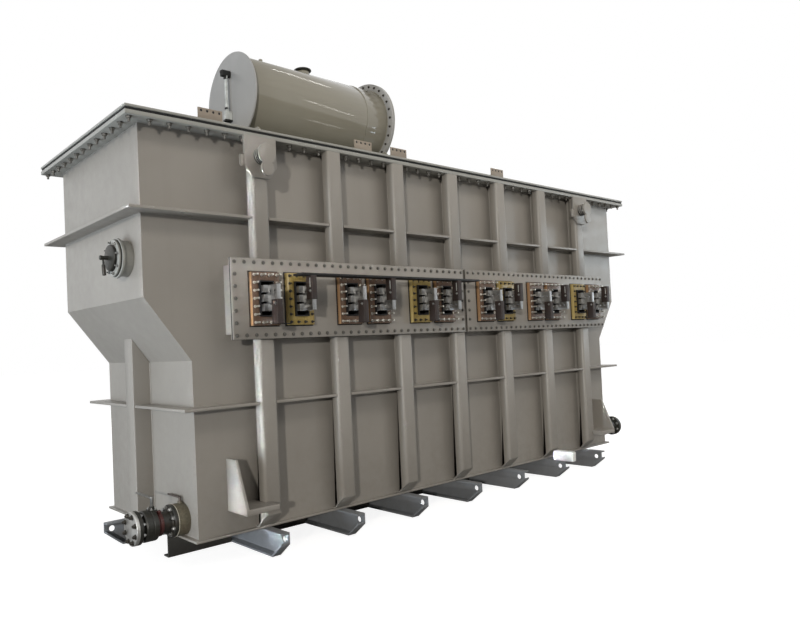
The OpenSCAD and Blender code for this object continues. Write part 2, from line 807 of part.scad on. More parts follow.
// Jacking bracket around the outer side of an end stiffener: notched plate and gusset
module jack_bracket() {
    edge = last_x + stiffener_w / 2;
    back = edge - jack_lap;
    translate([0, -half_w, tank_z + jack_z]) {
        linear_extrude(jack_t) polygon([
            [edge, 0], [edge + jack_l, 0], [edge + jack_l, -jack_d],
            [back, -jack_d], [back, -stiffener_p], [edge, -stiffener_p]
        ]);
        translate([edge + jack_l, 0, 0]) rotate([90, 0, -90]) linear_extrude(gusset_t) polygon([
            [0, 0], [jack_d, 0], [jack_d, jack_t], [gusset_top, jack_t + gusset_h], [0, jack_t + gusset_h]
        ]);
    }
}

module jack_brackets() {
    color(paint) for (end = [0, 1]) mirror([end, 0, 0])
        for (face = [0, 1]) mirror([0, face, 0]) jack_bracket();
}

// Places a shape that is built along Z onto a fitting's axis, pointing out of the left end
module on_left(x, y, z) translate([-x, y, z]) rotate([0, -90, 0]) children();

module relief_stub() {
    pipe_r = 108;
    pipe_t = 8;
    ring_t = 18;
    color(paint) on_left(half_l, relief_y, relief_z) difference() {
        union() {
            cylinder(h = relief_stub_l, r = pipe_r);
            translate([0, 0, relief_stub_l - ring_t]) cylinder(h = ring_t, r = relief_r);
        }
        translate([0, 0, -cut]) cylinder(h = relief_stub_l + 2 * cut, r = pipe_r - pipe_t);
    }
}

module relief_valve() {
    rim_h = 14;
    rim_set = 8;
    dome_r = 80;
    dome_h = 26;
    knob_r = 14;
    knob_h = 54;
    color(dark) on_left(half_l + relief_stub_l, relief_y, relief_z) {
        cylinder(h = rim_h, r = relief_r - rim_set);
        cylinder(h = rim_h + dome_h, r = dome_r);
        cylinder(h = rim_h + dome_h + knob_h, r = knob_r);
    }
}

// Socket for a lever stem, cut down from the height up above the valve axis
module stem_socket(x, up) {
    translate([-x, valve_y, drain_z + up - socket_d])
        cylinder(h = socket_d + cut, r = stem_r + stem_play);
}

// Wafer valve between the wall and the drain valve, with its gland on top
module isolating_valve() {
    gland_r = 15;
    color([0.35, 0.35, 0.33]) difference() {
        union() {
            on_left(half_low, valve_y, drain_z) cylinder(h = wafer_l, r = wafer_r);
            translate([-wafer_x, valve_y, drain_z]) cylinder(h = wafer_gland, r = gland_r);
        }
        stem_socket(wafer_x, wafer_gland);
    }
}

// Lever with a stem down into its gland, an arm along +Y and a hub
module lever(x, up, gland, arm_l, arm_w, arm_t) {
    hub_past = 2;
    below = up - gland + socket_d - stem_lift;
    translate([-x, valve_y, drain_z + up]) {
        translate([0, 0, -below]) cylinder(h = below + arm_t, r = stem_r);
        cylinder(h = arm_t, r = arm_w / 2 + hub_past);
        translate([-arm_w / 2, 0, 0]) cube([arm_w, arm_l, arm_t]);
    }
}

module isolating_lever() {
    color([0.3, 0.28, 0.27])
        lever(wafer_x, isolating_lever_up, wafer_gland, isolating_lever_l, isolating_arm, isolating_arm);
}

// Drain valve: flanged tail at the isolating valve, and body with gland and outer flange
module drain_valve() {
    body_r = 93;
    gland_r = 18;
    color(dark) difference() {
        union() {
            on_left(tail_x, valve_y, drain_z) {
                cylinder(h = valve_flange_t, r = valve_r);
                cylinder(h = collar_x - collar_ring_l - tail_x, r = throat_r);
            }
            on_left(collar_x, valve_y, drain_z) {
                cylinder(h = body_l, r = body_r);
                cylinder(h = nose_x - collar_x, r = throat_r);
                translate([0, 0, nose_x - collar_x]) cylinder(h = valve_flange_t, r = valve_r);
            }
            difference() {
                translate([-drain_x, valve_y, drain_z]) cylinder(h = drain_gland, r = gland_r);
                on_left(collar_x - collar_ring_l, valve_y, drain_z)
                    cylinder(h = collar_ring_l, r = valve_r - collar_set + seat_play);
            }
        }
        stem_socket(drain_x, drain_gland);
    }
}

module drain_collar() {
    color([0.35, 0.08, 0.07]) on_left(collar_x - collar_ring_l, valve_y, drain_z)
        cylinder(h = collar_ring_l, r = valve_r - collar_set);
}

module drain_lever() {
    color(tinned) lever(drain_x, drain_lever_up, drain_gland, drain_lever_l, drain_arm_w, drain_arm_t);
}

module drain_blank() {
    color(paint) on_left(blank_x, valve_y, drain_z) cylinder(h = valve_flange_t, r = valve_r);
}

// Flanged valve with its pipe on the right end
module filter_valve() {
    case_r = 82;
    case_l = 120;
    color(dark) translate([half_low, valve_y, drain_z]) rotate([0, 90, 0]) {
        cylinder(h = wafer_l + valve_flange_t, r = wafer_r);
        cylinder(h = filter_l, r = throat_r);
        translate([0, 0, filter_l / 2 - case_l / 2]) cylinder(h = case_l, r = case_r);
        translate([0, 0, filter_l - 2 * valve_flange_t]) cylinder(h = 2 * valve_flange_t, r = valve_r);
    }
}

// Earthing block on the next to last cross beam, in front of its stiffener
module earth_block() {
    bevel = 35;
    back = front_p;
    x = stiffener_x[stiffener_n - 2];
    color([0.8, 0.8, 0.78]) translate([x, 0, beam_h]) linear_extrude(earth_h) polygon([
        [-earth_w / 2, -back], [earth_w / 2, -back], [earth_w / 2, bevel - back - earth_l],
        [earth_w / 2 - bevel, -back - earth_l], [-earth_w / 2, -back - earth_l]
    ]);
}

cross_beams();
front_skid();
rear_skid();
base_plate();
front_wall();
rear_wall();
left_end_wall();
right_end_wall();
rim();
cover_gasket();
cover();
front_stiffeners();
rear_stiffeners();
end_ribs();
upper_belt();
lower_belt();
panel_collars();
left_panel();
right_panel();
brown_boards();
yellow_boards();
terminals();
terminal_boots();
tie_strip();
vessel_shell();
vessel_left_end();
vessel_ring();
vessel_cover();
vessel_saddles();
filler_neck();
filler_cap();
level_gauge();
cover_lugs();
trunnions();
jack_brackets();
relief_stub();
relief_valve();
isolating_valve();
isolating_lever();
drain_valve();
drain_collar();
drain_lever();
drain_blank();
filter_valve();
earth_block();
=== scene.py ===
import json
import math
import bpy
import bmesh
from mathutils import Matrix, Vector


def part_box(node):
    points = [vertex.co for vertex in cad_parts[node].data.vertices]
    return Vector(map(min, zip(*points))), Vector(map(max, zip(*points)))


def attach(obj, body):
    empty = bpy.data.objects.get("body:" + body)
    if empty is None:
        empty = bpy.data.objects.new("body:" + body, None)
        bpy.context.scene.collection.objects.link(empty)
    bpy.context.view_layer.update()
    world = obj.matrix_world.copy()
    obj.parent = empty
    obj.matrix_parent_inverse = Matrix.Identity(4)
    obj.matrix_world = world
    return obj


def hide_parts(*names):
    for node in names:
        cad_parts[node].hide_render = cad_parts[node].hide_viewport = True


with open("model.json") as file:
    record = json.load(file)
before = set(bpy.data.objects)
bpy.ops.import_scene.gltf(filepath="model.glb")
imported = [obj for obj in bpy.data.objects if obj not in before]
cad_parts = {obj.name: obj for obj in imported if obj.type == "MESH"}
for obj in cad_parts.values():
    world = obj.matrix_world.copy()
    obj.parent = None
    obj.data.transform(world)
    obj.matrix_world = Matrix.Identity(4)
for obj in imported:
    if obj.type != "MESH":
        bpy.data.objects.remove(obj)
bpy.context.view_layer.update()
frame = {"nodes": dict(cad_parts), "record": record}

scene = bpy.context.scene
scene.view_settings.view_transform = "Standard"
nodes = frame["nodes"]
mm = 0.001


# small helpers

def linear(r, g, b):
    def one(c):
        c = c / 255
        return c / 12.92 if c <= 0.04045 else ((c + 0.055) / 1.055) ** 2.4
    return (one(r), one(g), one(b), 1)


def shade(colour, k):
    return (colour[0] * k, colour[1] * k, colour[2] * k, 1)


def putNode(tree, kind, values=None, **props):
    node = tree.nodes.new(kind)
    for key, value in props.items():
        setattr(node, key, value)
    for key, value in (values or {}).items():
        node.inputs[key].default_value = value
    return node


def wire(tree, *pairs):
    for a, b in pairs:
        tree.links.new(a, b)


def give(tree, socket, value):
    if hasattr(value, "is_linked"):    # another node's socket
        wire(tree, (value, socket))
    else:
        socket.default_value = value


def startFinish(name, roughness=0.5, metallic=0.0):
    mat = bpy.data.materials.new(name)
    mat.use_nodes = True
    tree = mat.node_tree
    shader = tree.nodes["Principled BSDF"]
    shader.inputs["Roughness"].default_value = roughness
    shader.inputs["Metallic"].default_value = metallic
    return mat, tree, shader


def noiseOn(tree, coords, scale, detail=3.0, stretch=None, rough=0.5):
    tex = putNode(tree, "ShaderNodeTexNoise", {"Scale": scale, "Detail": detail, "Roughness": rough})
    if stretch:
        turn = putNode(tree, "ShaderNodeMapping", {"Scale": stretch})
        wire(tree, (coords, turn.inputs["Vector"]), (turn.outputs["Vector"], tex.inputs["Vector"]))
    else:
        wire(tree, (coords, tex.inputs["Vector"]))
    return tex.outputs["Fac"]


def remap(tree, value, low, high, outLow=0.0, outHigh=1.0):
    node = putNode(tree, "ShaderNodeMapRange", {"From Min": low, "From Max": high,
                                                "To Min": outLow, "To Max": outHigh})
    wire(tree, (value, node.inputs["Value"]))
    return node.outputs["Result"]


def mixColour(tree, fac, a, b, blend="MIX"):
    node = putNode(tree, "ShaderNodeMix", data_type="RGBA", blend_type=blend)
    ins = [s for s in node.inputs if s.type == "RGBA"]
    for socket, value in ((node.inputs[0], fac), (ins[0], a), (ins[1], b)):
        give(tree, socket, value)
    return [s for s in node.outputs if s.type == "RGBA"][0]


def objectSpot(tree):
    return putNode(tree, "ShaderNodeTexCoord").outputs["Object"]


def feed(tree, shader, colour, rough=None):
    wire(tree, (colour, shader.inputs["Base Color"]))
    if rough is not None:
        wire(tree, (rough, shader.inputs["Roughness"]))


def bumpOn(tree, shader, height, strength, distance):
    node = putNode(tree, "ShaderNodeBump", {"Strength": strength, "Distance": distance})
    wire(tree, (height, node.inputs["Height"]), (node.outputs["Normal"], shader.inputs["Normal"]))


# finishes

def paintFinish(name, tone, gloss=(0.34, 0.5), grime=0.25, streakDepth=0.12, peel=0.12):
    mat, tree, shader = startFinish(name)
    spot = objectSpot(tree)
    patches = noiseOn(tree, spot, 1.3, 4)
    streaks = noiseOn(tree, spot, 1.0, 3, (11, 11, 0.6))
    dust = noiseOn(tree, spot, 14, 6, None, 0.65)
    body = mixColour(tree, remap(tree, patches, 0.35, 0.68), shade(tone, 0.93), shade(tone, 1.05))
    # darker vertical streaks, spread at random
    body = mixColour(tree, remap(tree, streaks, 0.55, 0.8, 0, streakDepth), body, shade(tone, 0.62))
    height = putNode(tree, "ShaderNodeSeparateXYZ")
    wire(tree, (spot, height.inputs[0]))
    low = remap(tree, height.outputs["Z"], 0.9, 0.05, 0, 1)    # more dust towards the floor
    dirt = putNode(tree, "ShaderNodeMath", operation="MULTIPLY")
    wire(tree, (low, dirt.inputs[0]), (remap(tree, dust, 0.42, 0.75, 0, grime), dirt.inputs[1]))
    body = mixColour(tree, dirt.outputs[0], body, (tone[0] * 0.55, tone[1] * 0.5, tone[2] * 0.43, 1))
    feed(tree, shader, body, remap(tree, dust, 0.3, 0.7, *gloss))
    bumpOn(tree, shader, noiseOn(tree, spot, 220, 2), peel, 0.0006)    # orange peel of sprayed enamel
    return mat


def rubberFinish(name, tone):
    mat, tree, shader = startFinish(name, 0.8)
    spot = objectSpot(tree)
    body = mixColour(tree, noiseOn(tree, spot, 30, 5), shade(tone, 0.6), shade(tone, 1.5))
    feed(tree, shader, body)
    bumpOn(tree, shader, noiseOn(tree, spot, 400, 2), 0.2, 0.0005)
    return mat


def laminateFinish(name, face, edge):
    edge = linear(*edge)
    mat, tree, shader = startFinish(name, 0.42)
    spot = objectSpot(tree)
    grain = noiseOn(tree, spot, 3.0, 5, (40, 8, 3))
    cloud = noiseOn(tree, spot, 9, 3)
    body = mixColour(tree, remap(tree, grain, 0.3, 0.72), shade(face, 0.72), shade(face, 1.2))
    body = mixColour(tree, remap(tree, cloud, 0.4, 0.7, 0, 0.5), body, shade(face, 0.6))
    plies = putNode(tree, "ShaderNodeTexWave", {"Scale": 90, "Distortion": 1.5, "Detail": 2}, bands_direction="Y")
    wire(tree, (spot, plies.inputs["Vector"]))
    side = putNode(tree, "ShaderNodeSeparateXYZ")
    wire(tree, (putNode(tree, "ShaderNodeNewGeometry").outputs["Normal"], side.inputs[0]))
    flat = putNode(tree, "ShaderNodeMath", operation="ABSOLUTE")
    wire(tree, (side.outputs["Y"], flat.inputs[0]))
    cutEdge = mixColour(tree, plies.outputs["Fac"], shade(edge, 0.8), shade(edge, 1.1))
    body = mixColour(tree, remap(tree, flat.outputs[0], 0.9, 0.3), body, cutEdge)    # sawn edges show the plies
    feed(tree, shader, body, remap(tree, cloud, 0.3, 0.7, 0.3, 0.55))
    bumpOn(tree, shader, grain, 0.1, 0.0008)
    return mat


def metalFinish(name, tone, rough=(0.25, 0.45), brush=(4, 60, 60), tarnish=0.35):
    mat, tree, shader = startFinish(name, 0.35, 1.0)
    spot = objectSpot(tree)
    lines = noiseOn(tree, spot, 4.0, 4, brush)
    stain = noiseOn(tree, spot, 22, 5, None, 0.6)
    body = mixColour(tree, remap(tree, lines, 0.3, 0.7), shade(tone, 0.86), shade(tone, 1.06))
    body = mixColour(tree, remap(tree, stain, 0.5, 0.75, 0, tarnish), body, shade(tone, 0.5))
    feed(tree, shader, body, remap(tree, lines, 0.3, 0.7, *rough))
    bumpOn(tree, shader, lines, 0.08, 0.0004)
    return mat


def plasticFinish(name, tone, rough=0.5):
    mat, tree, shader = startFinish(name, rough)
    spot = objectSpot(tree)
    cloud = noiseOn(tree, spot, 18, 4)
    body = mixColour(tree, remap(tree, cloud, 0.35, 0.7), shade(tone, 0.8), shade(tone, 1.2))
    feed(tree, shader, body, remap(tree, cloud, 0.3, 0.7, rough - 0.1, rough + 0.12))
    bumpOn(tree, shader, noiseOn(tree, spot, 500, 2), 0.1, 0.0003)
    return mat


def castFinish(name, tone, rough=0.5, rust=0.0):
    mat, tree, shader = startFinish(name, rough)
    spot = objectSpot(tree)
    grit = noiseOn(tree, spot, 70, 5, None, 0.7)
    body = mixColour(tree, remap(tree, grit, 0.35, 0.7), shade(tone, 0.7), shade(tone, 1.35))
    if rust:
        bloom = noiseOn(tree, spot, 16, 6, None, 0.7)
        body = mixColour(tree, remap(tree, bloom, 0.52, 0.72, 0, rust), body, linear(92, 58, 38))
    feed(tree, shader, body, remap(tree, grit, 0.3, 0.7, rough - 0.12, rough + 0.15))
    bumpOn(tree, shader, grit, 0.25, 0.0008)
    return mat


finishList = {    # name: how it is made, tone, settings
    "tankPaint": (paintFinish, (142, 138, 132)),
    # base frame paint: darker than the tank's grey as painted shade under the tank, bluer as a painted sky reflection
    "basePaint": (paintFinish, (120, 123, 127)),
    # near-black grey: painted shade for the front skid, which lies in the shadow of the base plate
    "underPaint": (paintFinish, (58, 57, 54), (0.45, 0.6), 0.4),
    # lighter than the vessel's paint: painted light on the left-facing vessel end and ring
    "discPaint": (paintFinish, (160, 160, 159), (0.34, 0.48), 0.2, 0.06),
    # darker copy of the tank's grey: painted shade on the nuts under the rim and on the panel bolts
    "nutPaint": (paintFinish, (88, 86, 81), (0.28, 0.42), 0.35),
    "vesselPaint": (paintFinish, (137, 134, 122), (0.07, 0.1), 0.1, 0.05, 0.01),
    "edgePaint": (paintFinish, (148, 148, 143), (0.3, 0.45), 0.2, 0.06),
    "primer": (paintFinish, (146, 136, 124), (0.5, 0.65), 0.2, 0.1),
    # black rubber for the gaskets; the same black is painted shade in the gaps of the trunnion rings
    "gasketRubber": (rubberFinish, (11, 11, 11)),
    "brownBoard": (laminateFinish, (98, 76, 60), (156, 122, 88)),
    "yellowBoard": (laminateFinish, (150, 130, 72), (180, 160, 104)),
    "tinned": (metalFinish, (158, 158, 157), (0.32, 0.52)),
    "zinc": (metalFinish, (168, 168, 166), (0.3, 0.5), (30, 30, 30)),
    "brightStud": (metalFinish, (228, 225, 217), (0.38, 0.55), (30, 30, 30)),
    "darkBolt": (metalFinish, (84, 81, 76), (0.4, 0.6), (30, 30, 30), 0.5),
    "blankSteel": (metalFinish, (200, 199, 195), (0.42, 0.58), (8, 8, 8), 0.12),
    "boot": (plasticFinish, (41, 31, 27), 0.6),
    "blackTrim": (plasticFinish, (15, 14, 14), 0.65),
    "valveBlack": (castFinish, (33, 33, 28), 0.42, 0.12),
    "waferGrey": (castFinish, (96, 91, 76), 0.5, 0.25),
    "collarRed": (castFinish, (74, 36, 34), 0.4, 0.1),
    "leverDark": (castFinish, (70, 62, 58), 0.45, 0.4),
    "paleGasket": (plasticFinish, (200, 194, 178), 0.6),
    "palePlastic": (plasticFinish, (196, 197, 193), 0.45),
    "sightTube": (plasticFinish, (190, 194, 192), 0.25),
}
finishes = {name: make(name, linear(*tone), *more) for name, (make, tone, *more) in finishList.items()}
print("finishes", len(finishes))


# making pieces

def keep(name, mesh, finish, body="tank", slot="grey_paint", replaces=()):
    mesh.materials.clear()
    mesh.materials.append(finishes[finish])
    piece = bpy.data.objects.new(name, mesh)
    scene.collection.objects.link(piece)
    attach(piece, body)
    if replaces:
        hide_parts(*replaces)
    return piece


def fromBmesh(name, bm, finish, smooth=None, **more):
    bmesh.ops.recalc_face_normals(bm, faces=bm.faces)
    mesh = bpy.data.meshes.new(name)
    bm.to_mesh(mesh)
    bm.free()
    if smooth:
        mesh.shade_smooth()
        mesh.set_sharp_from_angle(angle=math.radians(smooth))
    return keep(name, mesh, finish, **more)


def evaluated(temp):
    graph = bpy.context.evaluated_depsgraph_get()
    mesh = bpy.data.meshes.new_from_object(temp.evaluated_get(graph))
    source = temp.data
    bpy.data.objects.remove(temp)
    bpy.data.meshes.remove(source)
    return mesh


def softEdges(node, finish, width, body="tank", slot="grey_paint", segments=2):
    # a merged copy of the CAD node with its plate edges broken
    weldGap, flatAngle, sharpAngle = 0.02 * mm, math.radians(1), math.radians(35)
    bm = bmesh.new()
    bm.from_mesh(nodes[node].data)
    bmesh.ops.remove_doubles(bm, verts=bm.verts, dist=weldGap)
    bmesh.ops.dissolve_limit(bm, angle_limit=flatAngle, verts=bm.verts, edges=bm.edges)
    mesh = bpy.data.meshes.new(node + "Soft")
    bm.to_mesh(mesh)
    bm.free()
    mesh.shade_smooth()
    temp = bpy.data.objects.new(node + "Soft", mesh)
    scene.collection.objects.link(temp)
    bevel = temp.modifiers.new("edge", "BEVEL")
    bevel.width = width
    bevel.segments = segments
    bevel.limit_method = "ANGLE"
    bevel.angle_limit = sharpAngle
    bevel.harden_normals = True
    bevel.use_clamp_overlap = True
    return keep(node + "Look", evaluated(temp), finish, body, slot, (node,))


def boxInto(bm, low, high, bevel=0.0):
    size = [b - a for a, b in zip(low, high)]
    mid = [(a + b) / 2 for a, b in zip(low, high)]
    made = bmesh.ops.create_cube(bm, size=1, matrix=Matrix.LocRotScale(Vector(mid), None, Vector(size)))
    if bevel:
        edges = list({e for v in made["verts"] for e in v.link_edges})
        bmesh.ops.bevel(bm, geom=edges, offset=bevel, segments=2, affect="EDGES", profile=0.5)


def latheInto(bm, profile, place, steps=40):
    # profile is (radius, along) pairs, turned about Z and then set by place
    rings = []
    for r, z in profile:
        if r < 1e-6:
            rings.append([bm.verts.new(place @ Vector((0, 0, z)))])
        else:
            rings.append([bm.verts.new(place @ Vector((r * math.cos(a), r * math.sin(a), z)))
                          for a in (2 * math.pi * k / steps for k in range(steps))])
    for a, b in zip(rings, rings[1:]):
        for k in range(steps):
            j = (k + 1) % steps
            if len(a) == 1:
                bm.faces.new((a[0], b[j], b[k]))
            elif len(b) == 1:
                bm.faces.new((a[k], a[j], b[0]))
            else:
                bm.faces.new((a[k], a[j], b[j], b[k]))
    for ring in (rings[0], rings[-1]):
        if len(ring) > 1:
            bm.faces.new(ring)


def towards(position, direction):
    return Matrix.Translation(position) @ Vector(direction).to_track_quat("Z", "Y").to_matrix().to_4x4()


def inMm(profile):
    return [(r * mm, z * mm) for r, z in profile]


def discInto(bm, place, inner, outer, thick, edge, steps=40):
    # disc whose rims slope in from its edge to the inner radius
    latheInto(bm, [(inner, 0), (outer, edge), (outer, thick - edge), (inner, thick)], place, steps)


def circleSpots(centre, r, count, facing, first=None):
    # bolt spots round the X axis, the first half a step from +Y if no angle is given
    x, y, z = centre
    first = math.pi / count if first is None else first
    turns = [first + 2 * math.pi * k / count for k in range(count)]
    return [((x, y + r * math.cos(a), z + r * math.sin(a)), (facing, 0, 0)) for a in turns]


# bolts on points, each turned to its point's "facing"

boltSizes = ("Head Radius", "Head Height", "Washer Radius", "Washer Height", "Stud Radius", "Stud Length")
boltShape = {"straight": 0.8, "crown": 0.84, "seed": 11, "turn": 6.283}    # shares of the head, random spin


def makeBoltTree():
    tree = bpy.data.node_groups.new("boltsOnSpots", "GeometryNodeTree")
    tree.interface.new_socket("Spots", in_out="INPUT", socket_type="NodeSocketGeometry")
    for label in boltSizes:
        tree.interface.new_socket(label, in_out="INPUT", socket_type="NodeSocketFloat")
    tree.interface.new_socket("Finish", in_out="INPUT", socket_type="NodeSocketMaterial")
    tree.interface.new_socket("Bolts", in_out="OUTPUT", socket_type="NodeSocketGeometry")
    start = putNode(tree, "NodeGroupInput").outputs
    end = putNode(tree, "NodeGroupOutput")

    def sums(kind, a, b):
        node = putNode(tree, "ShaderNodeMath", operation=kind)
        for socket, value in zip(node.inputs, (a, b)):
            give(tree, socket, value)
        return node.outputs[0]

    def lifted(mesh, z):
        up = putNode(tree, "ShaderNodeCombineXYZ")
        move = putNode(tree, "GeometryNodeTransform")
        wire(tree, (z, up.inputs["Z"]), (mesh, move.inputs["Geometry"]),
             (up.outputs[0], move.inputs["Translation"]))
        return move.outputs[0]

    def barrel(sides, radius, depth, low):
        shape = putNode(tree, "GeometryNodeMeshCylinder", {"Vertices": sides})
        wire(tree, (radius, shape.inputs["Radius"]), (depth, shape.inputs["Depth"]))
        return lifted(shape.outputs["Mesh"], sums("ADD", low, sums("MULTIPLY", depth, 0.5)))

    washer = barrel(12, start["Washer Radius"], start["Washer Height"], 0.0)
    straight = sums("MULTIPLY", start["Head Height"], boltShape["straight"])
    head = barrel(6, start["Head Radius"], straight, start["Washer Height"])
    crown = putNode(tree, "GeometryNodeMeshCone", {"Vertices": 6})
    crownHeight = sums("MULTIPLY", start["Head Height"], 1 - boltShape["straight"])
    crownTop = sums("MULTIPLY", start["Head Radius"], boltShape["crown"])
    wire(tree, (start["Head Radius"], crown.inputs["Radius Bottom"]), (crownHeight, crown.inputs["Depth"]),
         (crownTop, crown.inputs["Radius Top"]))
    crownMesh = lifted(crown.outputs["Mesh"], sums("ADD", start["Washer Height"], straight))
    whole = sums("ADD", start["Washer Height"], start["Head Height"])
    stud = barrel(10, start["Stud Radius"], start["Stud Length"], whole)
    join = putNode(tree, "GeometryNodeJoinGeometry")
    wire(tree, *[(m, join.inputs[0]) for m in (washer, head, crownMesh, stud)])

    facing = putNode(tree, "GeometryNodeInputNamedAttribute", {"Name": "facing"}, data_type="FLOAT_VECTOR")
    aim = putNode(tree, "FunctionNodeAlignRotationToVector", axis="Z")
    spin = putNode(tree, "FunctionNodeRandomValue", data_type="FLOAT")
    for socket in spin.inputs:
        if socket.name == "Seed":
            socket.default_value = boltShape["seed"]
        if socket.name == "Max" and socket.type == "VALUE":
            socket.default_value = boltShape["turn"]
    angle = putNode(tree, "FunctionNodeAxisAngleToRotation", {"Axis": (0, 0, 1)})
    turn = putNode(tree, "FunctionNodeRotateRotation", rotation_space="LOCAL")
    spinValue = [s for s in spin.outputs if s.type == "VALUE"][0]
    wire(tree, (facing.outputs["Attribute"], aim.inputs["Vector"]), (spinValue, angle.inputs["Angle"]),
         (aim.outputs[0], turn.inputs["Rotation"]), (angle.outputs[0], turn.inputs["Rotate By"]))
    place = putNode(tree, "GeometryNodeInstanceOnPoints")
    real = putNode(tree, "GeometryNodeRealizeInstances")
    paint = putNode(tree, "GeometryNodeSetMaterial")
    wire(tree, (start["Spots"], place.inputs["Points"]), (join.outputs[0], place.inputs["Instance"]),
         (turn.outputs[0], place.inputs["Rotation"]), (place.outputs[0], real.inputs[0]),
         (real.outputs[0], paint.inputs["Geometry"]), (start["Finish"], paint.inputs["Material"]),
         (paint.outputs[0], end.inputs[0]))
    return tree


boltTree = makeBoltTree()


def runTree(tree, mesh, values):
    temp = bpy.data.objects.new("treeRun", mesh)
    scene.collection.objects.link(temp)
    run = temp.modifiers.new("run", "NODES")
    run.node_group = tree
    ids = {item.name: item.identifier for item in tree.interface.items_tree if item.in_out == "INPUT"}
    for label, value in values.items():
        run[ids[label]] = value
    return evaluated(temp)


def boltsAt(name, spots, size, finish, body="tank", slot="bare_steel"):
    # size: the values of boltSizes in millimetres
    mesh = bpy.data.meshes.new(name + "Spots")
    mesh.from_pydata([p for p, _ in spots], [], [])
    aim = mesh.attributes.new("facing", "FLOAT_VECTOR", "POINT")
    aim.data.foreach_set("vector", [c for _, n in spots for c in n])
    values = {label: value * mm for label, value in zip(boltSizes, size)}
    values["Finish"] = finishes[finish]
    return keep(name, runTree(boltTree, mesh, values), finish, body, slot)


# weld beads along edges

def makeBeadTree():
    tree = bpy.data.node_groups.new("weldAlong", "GeometryNodeTree")
    for label, kind in (("Path", "NodeSocketGeometry"), ("Bead Radius", "NodeSocketFloat"),
                        ("Step", "NodeSocketFloat"), ("Finish", "NodeSocketMaterial")):
        tree.interface.new_socket(label, in_out="INPUT", socket_type=kind)
    tree.interface.new_socket("Bead", in_out="OUTPUT", socket_type="NodeSocketGeometry")
    start = putNode(tree, "NodeGroupInput").outputs
    end = putNode(tree, "NodeGroupOutput")
    line = putNode(tree, "GeometryNodeMeshToCurve")
    even = putNode(tree, "GeometryNodeResampleCurve")
    even.mode = "LENGTH"
    lumps = putNode(tree, "ShaderNodeTexNoise", {"Scale": 31.0, "Detail": 1.0})
    swell = putNode(tree, "ShaderNodeMapRange", {"From Min": 0.3, "From Max": 0.7, "To Min": 0.75, "To Max": 1.25})
    fat = putNode(tree, "GeometryNodeSetCurveRadius")
    ring = putNode(tree, "GeometryNodeCurvePrimitiveCircle", {"Resolution": 6})
    skin = putNode(tree, "GeometryNodeCurveToMesh", {"Fill Caps": True})
    real = putNode(tree, "GeometryNodeRealizeInstances")
    paint = putNode(tree, "GeometryNodeSetMaterial")
    wire(tree, (start["Path"], line.inputs[0]), (line.outputs[0], even.inputs["Curve"]),
         (start["Step"], even.inputs["Length"]), (even.outputs[0], fat.inputs["Curve"]),
         (lumps.outputs["Fac"], swell.inputs["Value"]), (swell.outputs["Result"], fat.inputs["Radius"]),
         (start["Bead Radius"], ring.inputs["Radius"]),
         (fat.outputs[0], skin.inputs["Curve"]), (ring.outputs[0], skin.inputs["Profile Curve"]),
         (skin.outputs[0], real.inputs[0]), (real.outputs[0], paint.inputs["Geometry"]),
         (start["Finish"], paint.inputs["Material"]), (paint.outputs[0], end.inputs[0]))
    return tree


beadTree = makeBeadTree()


def weldsAlong(name, lines, radius, step, finish="tankPaint"):
    mesh = bpy.data.meshes.new(name + "Path")
    points, edges = [], []
    for line in lines:
        first = len(points)
        points += line
        edges += [(first + k, first + k + 1) for k in range(len(line) - 1)]
    mesh.from_pydata(points, edges, [])
    values = {"Bead Radius": radius * mm, "Step": step * mm, "Finish": finishes[finish]}
    made = runTree(beadTree, mesh, values)
    made.shade_smooth()
    return keep(name, made, finish)


# tank: paint on the plates, broken edges

for name in ("front_wall", "rear_wall", "left_end_wall", "right_end_wall"):
    nodes[name].data.materials.clear()
    nodes[name].data.materials.append(finishes["tankPaint"])

plates = {    # node: finish, edge radius in millimetres
    "cover": ("edgePaint", 3), "rim": ("edgePaint", 3), "base_plate": ("tankPaint", 2),
    "front_stiffeners": ("tankPaint", 2), "rear_stiffeners": ("tankPaint", 2), "end_ribs": ("tankPaint", 6),
    # cross beams and rear skid: base frame paint, darkened as painted shade
    "upper_belt": ("tankPaint", 2), "lower_belt": ("tankPaint", 2), "cross_beams": ("basePaint", 2),
    # front skid: near-black paint as painted shade under the base plate
    "front_skid": ("underPaint", 2), "rear_skid": ("basePaint", 2), "panel_collars": ("tankPaint", 2),
    "left_panel": ("tankPaint", 2), "right_panel": ("tankPaint", 2), "jack_brackets": ("tankPaint", 3),
    # vessel end and ring: lightened paint as painted light on their left faces
    "trunnions": ("tankPaint", 3), "vessel_saddles": ("vesselPaint", 2), "vessel_left_end": ("discPaint", 3),
    "vessel_ring": ("discPaint", 2), "vessel_cover": ("edgePaint", 2), "vessel_shell": ("vesselPaint", 0.5),
    "filler_neck": ("vesselPaint", 1), "relief_stub": ("edgePaint", 2), "cover_lugs": ("primer", 1),
}
for node, (finish, edge) in plates.items():
    softEdges(node, finish, edge * mm, slot="primer_paint" if finish == "primer" else "grey_paint")
softEdges("cover_gasket", "gasketRubber", 2 * mm, slot="black_rubber")
print("tank plates", len(plates))

rimLow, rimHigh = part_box("rim")
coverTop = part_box("cover")[1].z
wallLow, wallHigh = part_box("front_wall")
halfW = -wallLow.y
lowHalf = 2330 * mm    # half length of the tank below its shoulders
stiffX = [(k - 3) * 622 * mm for k in range(7)]    # seven stiffeners

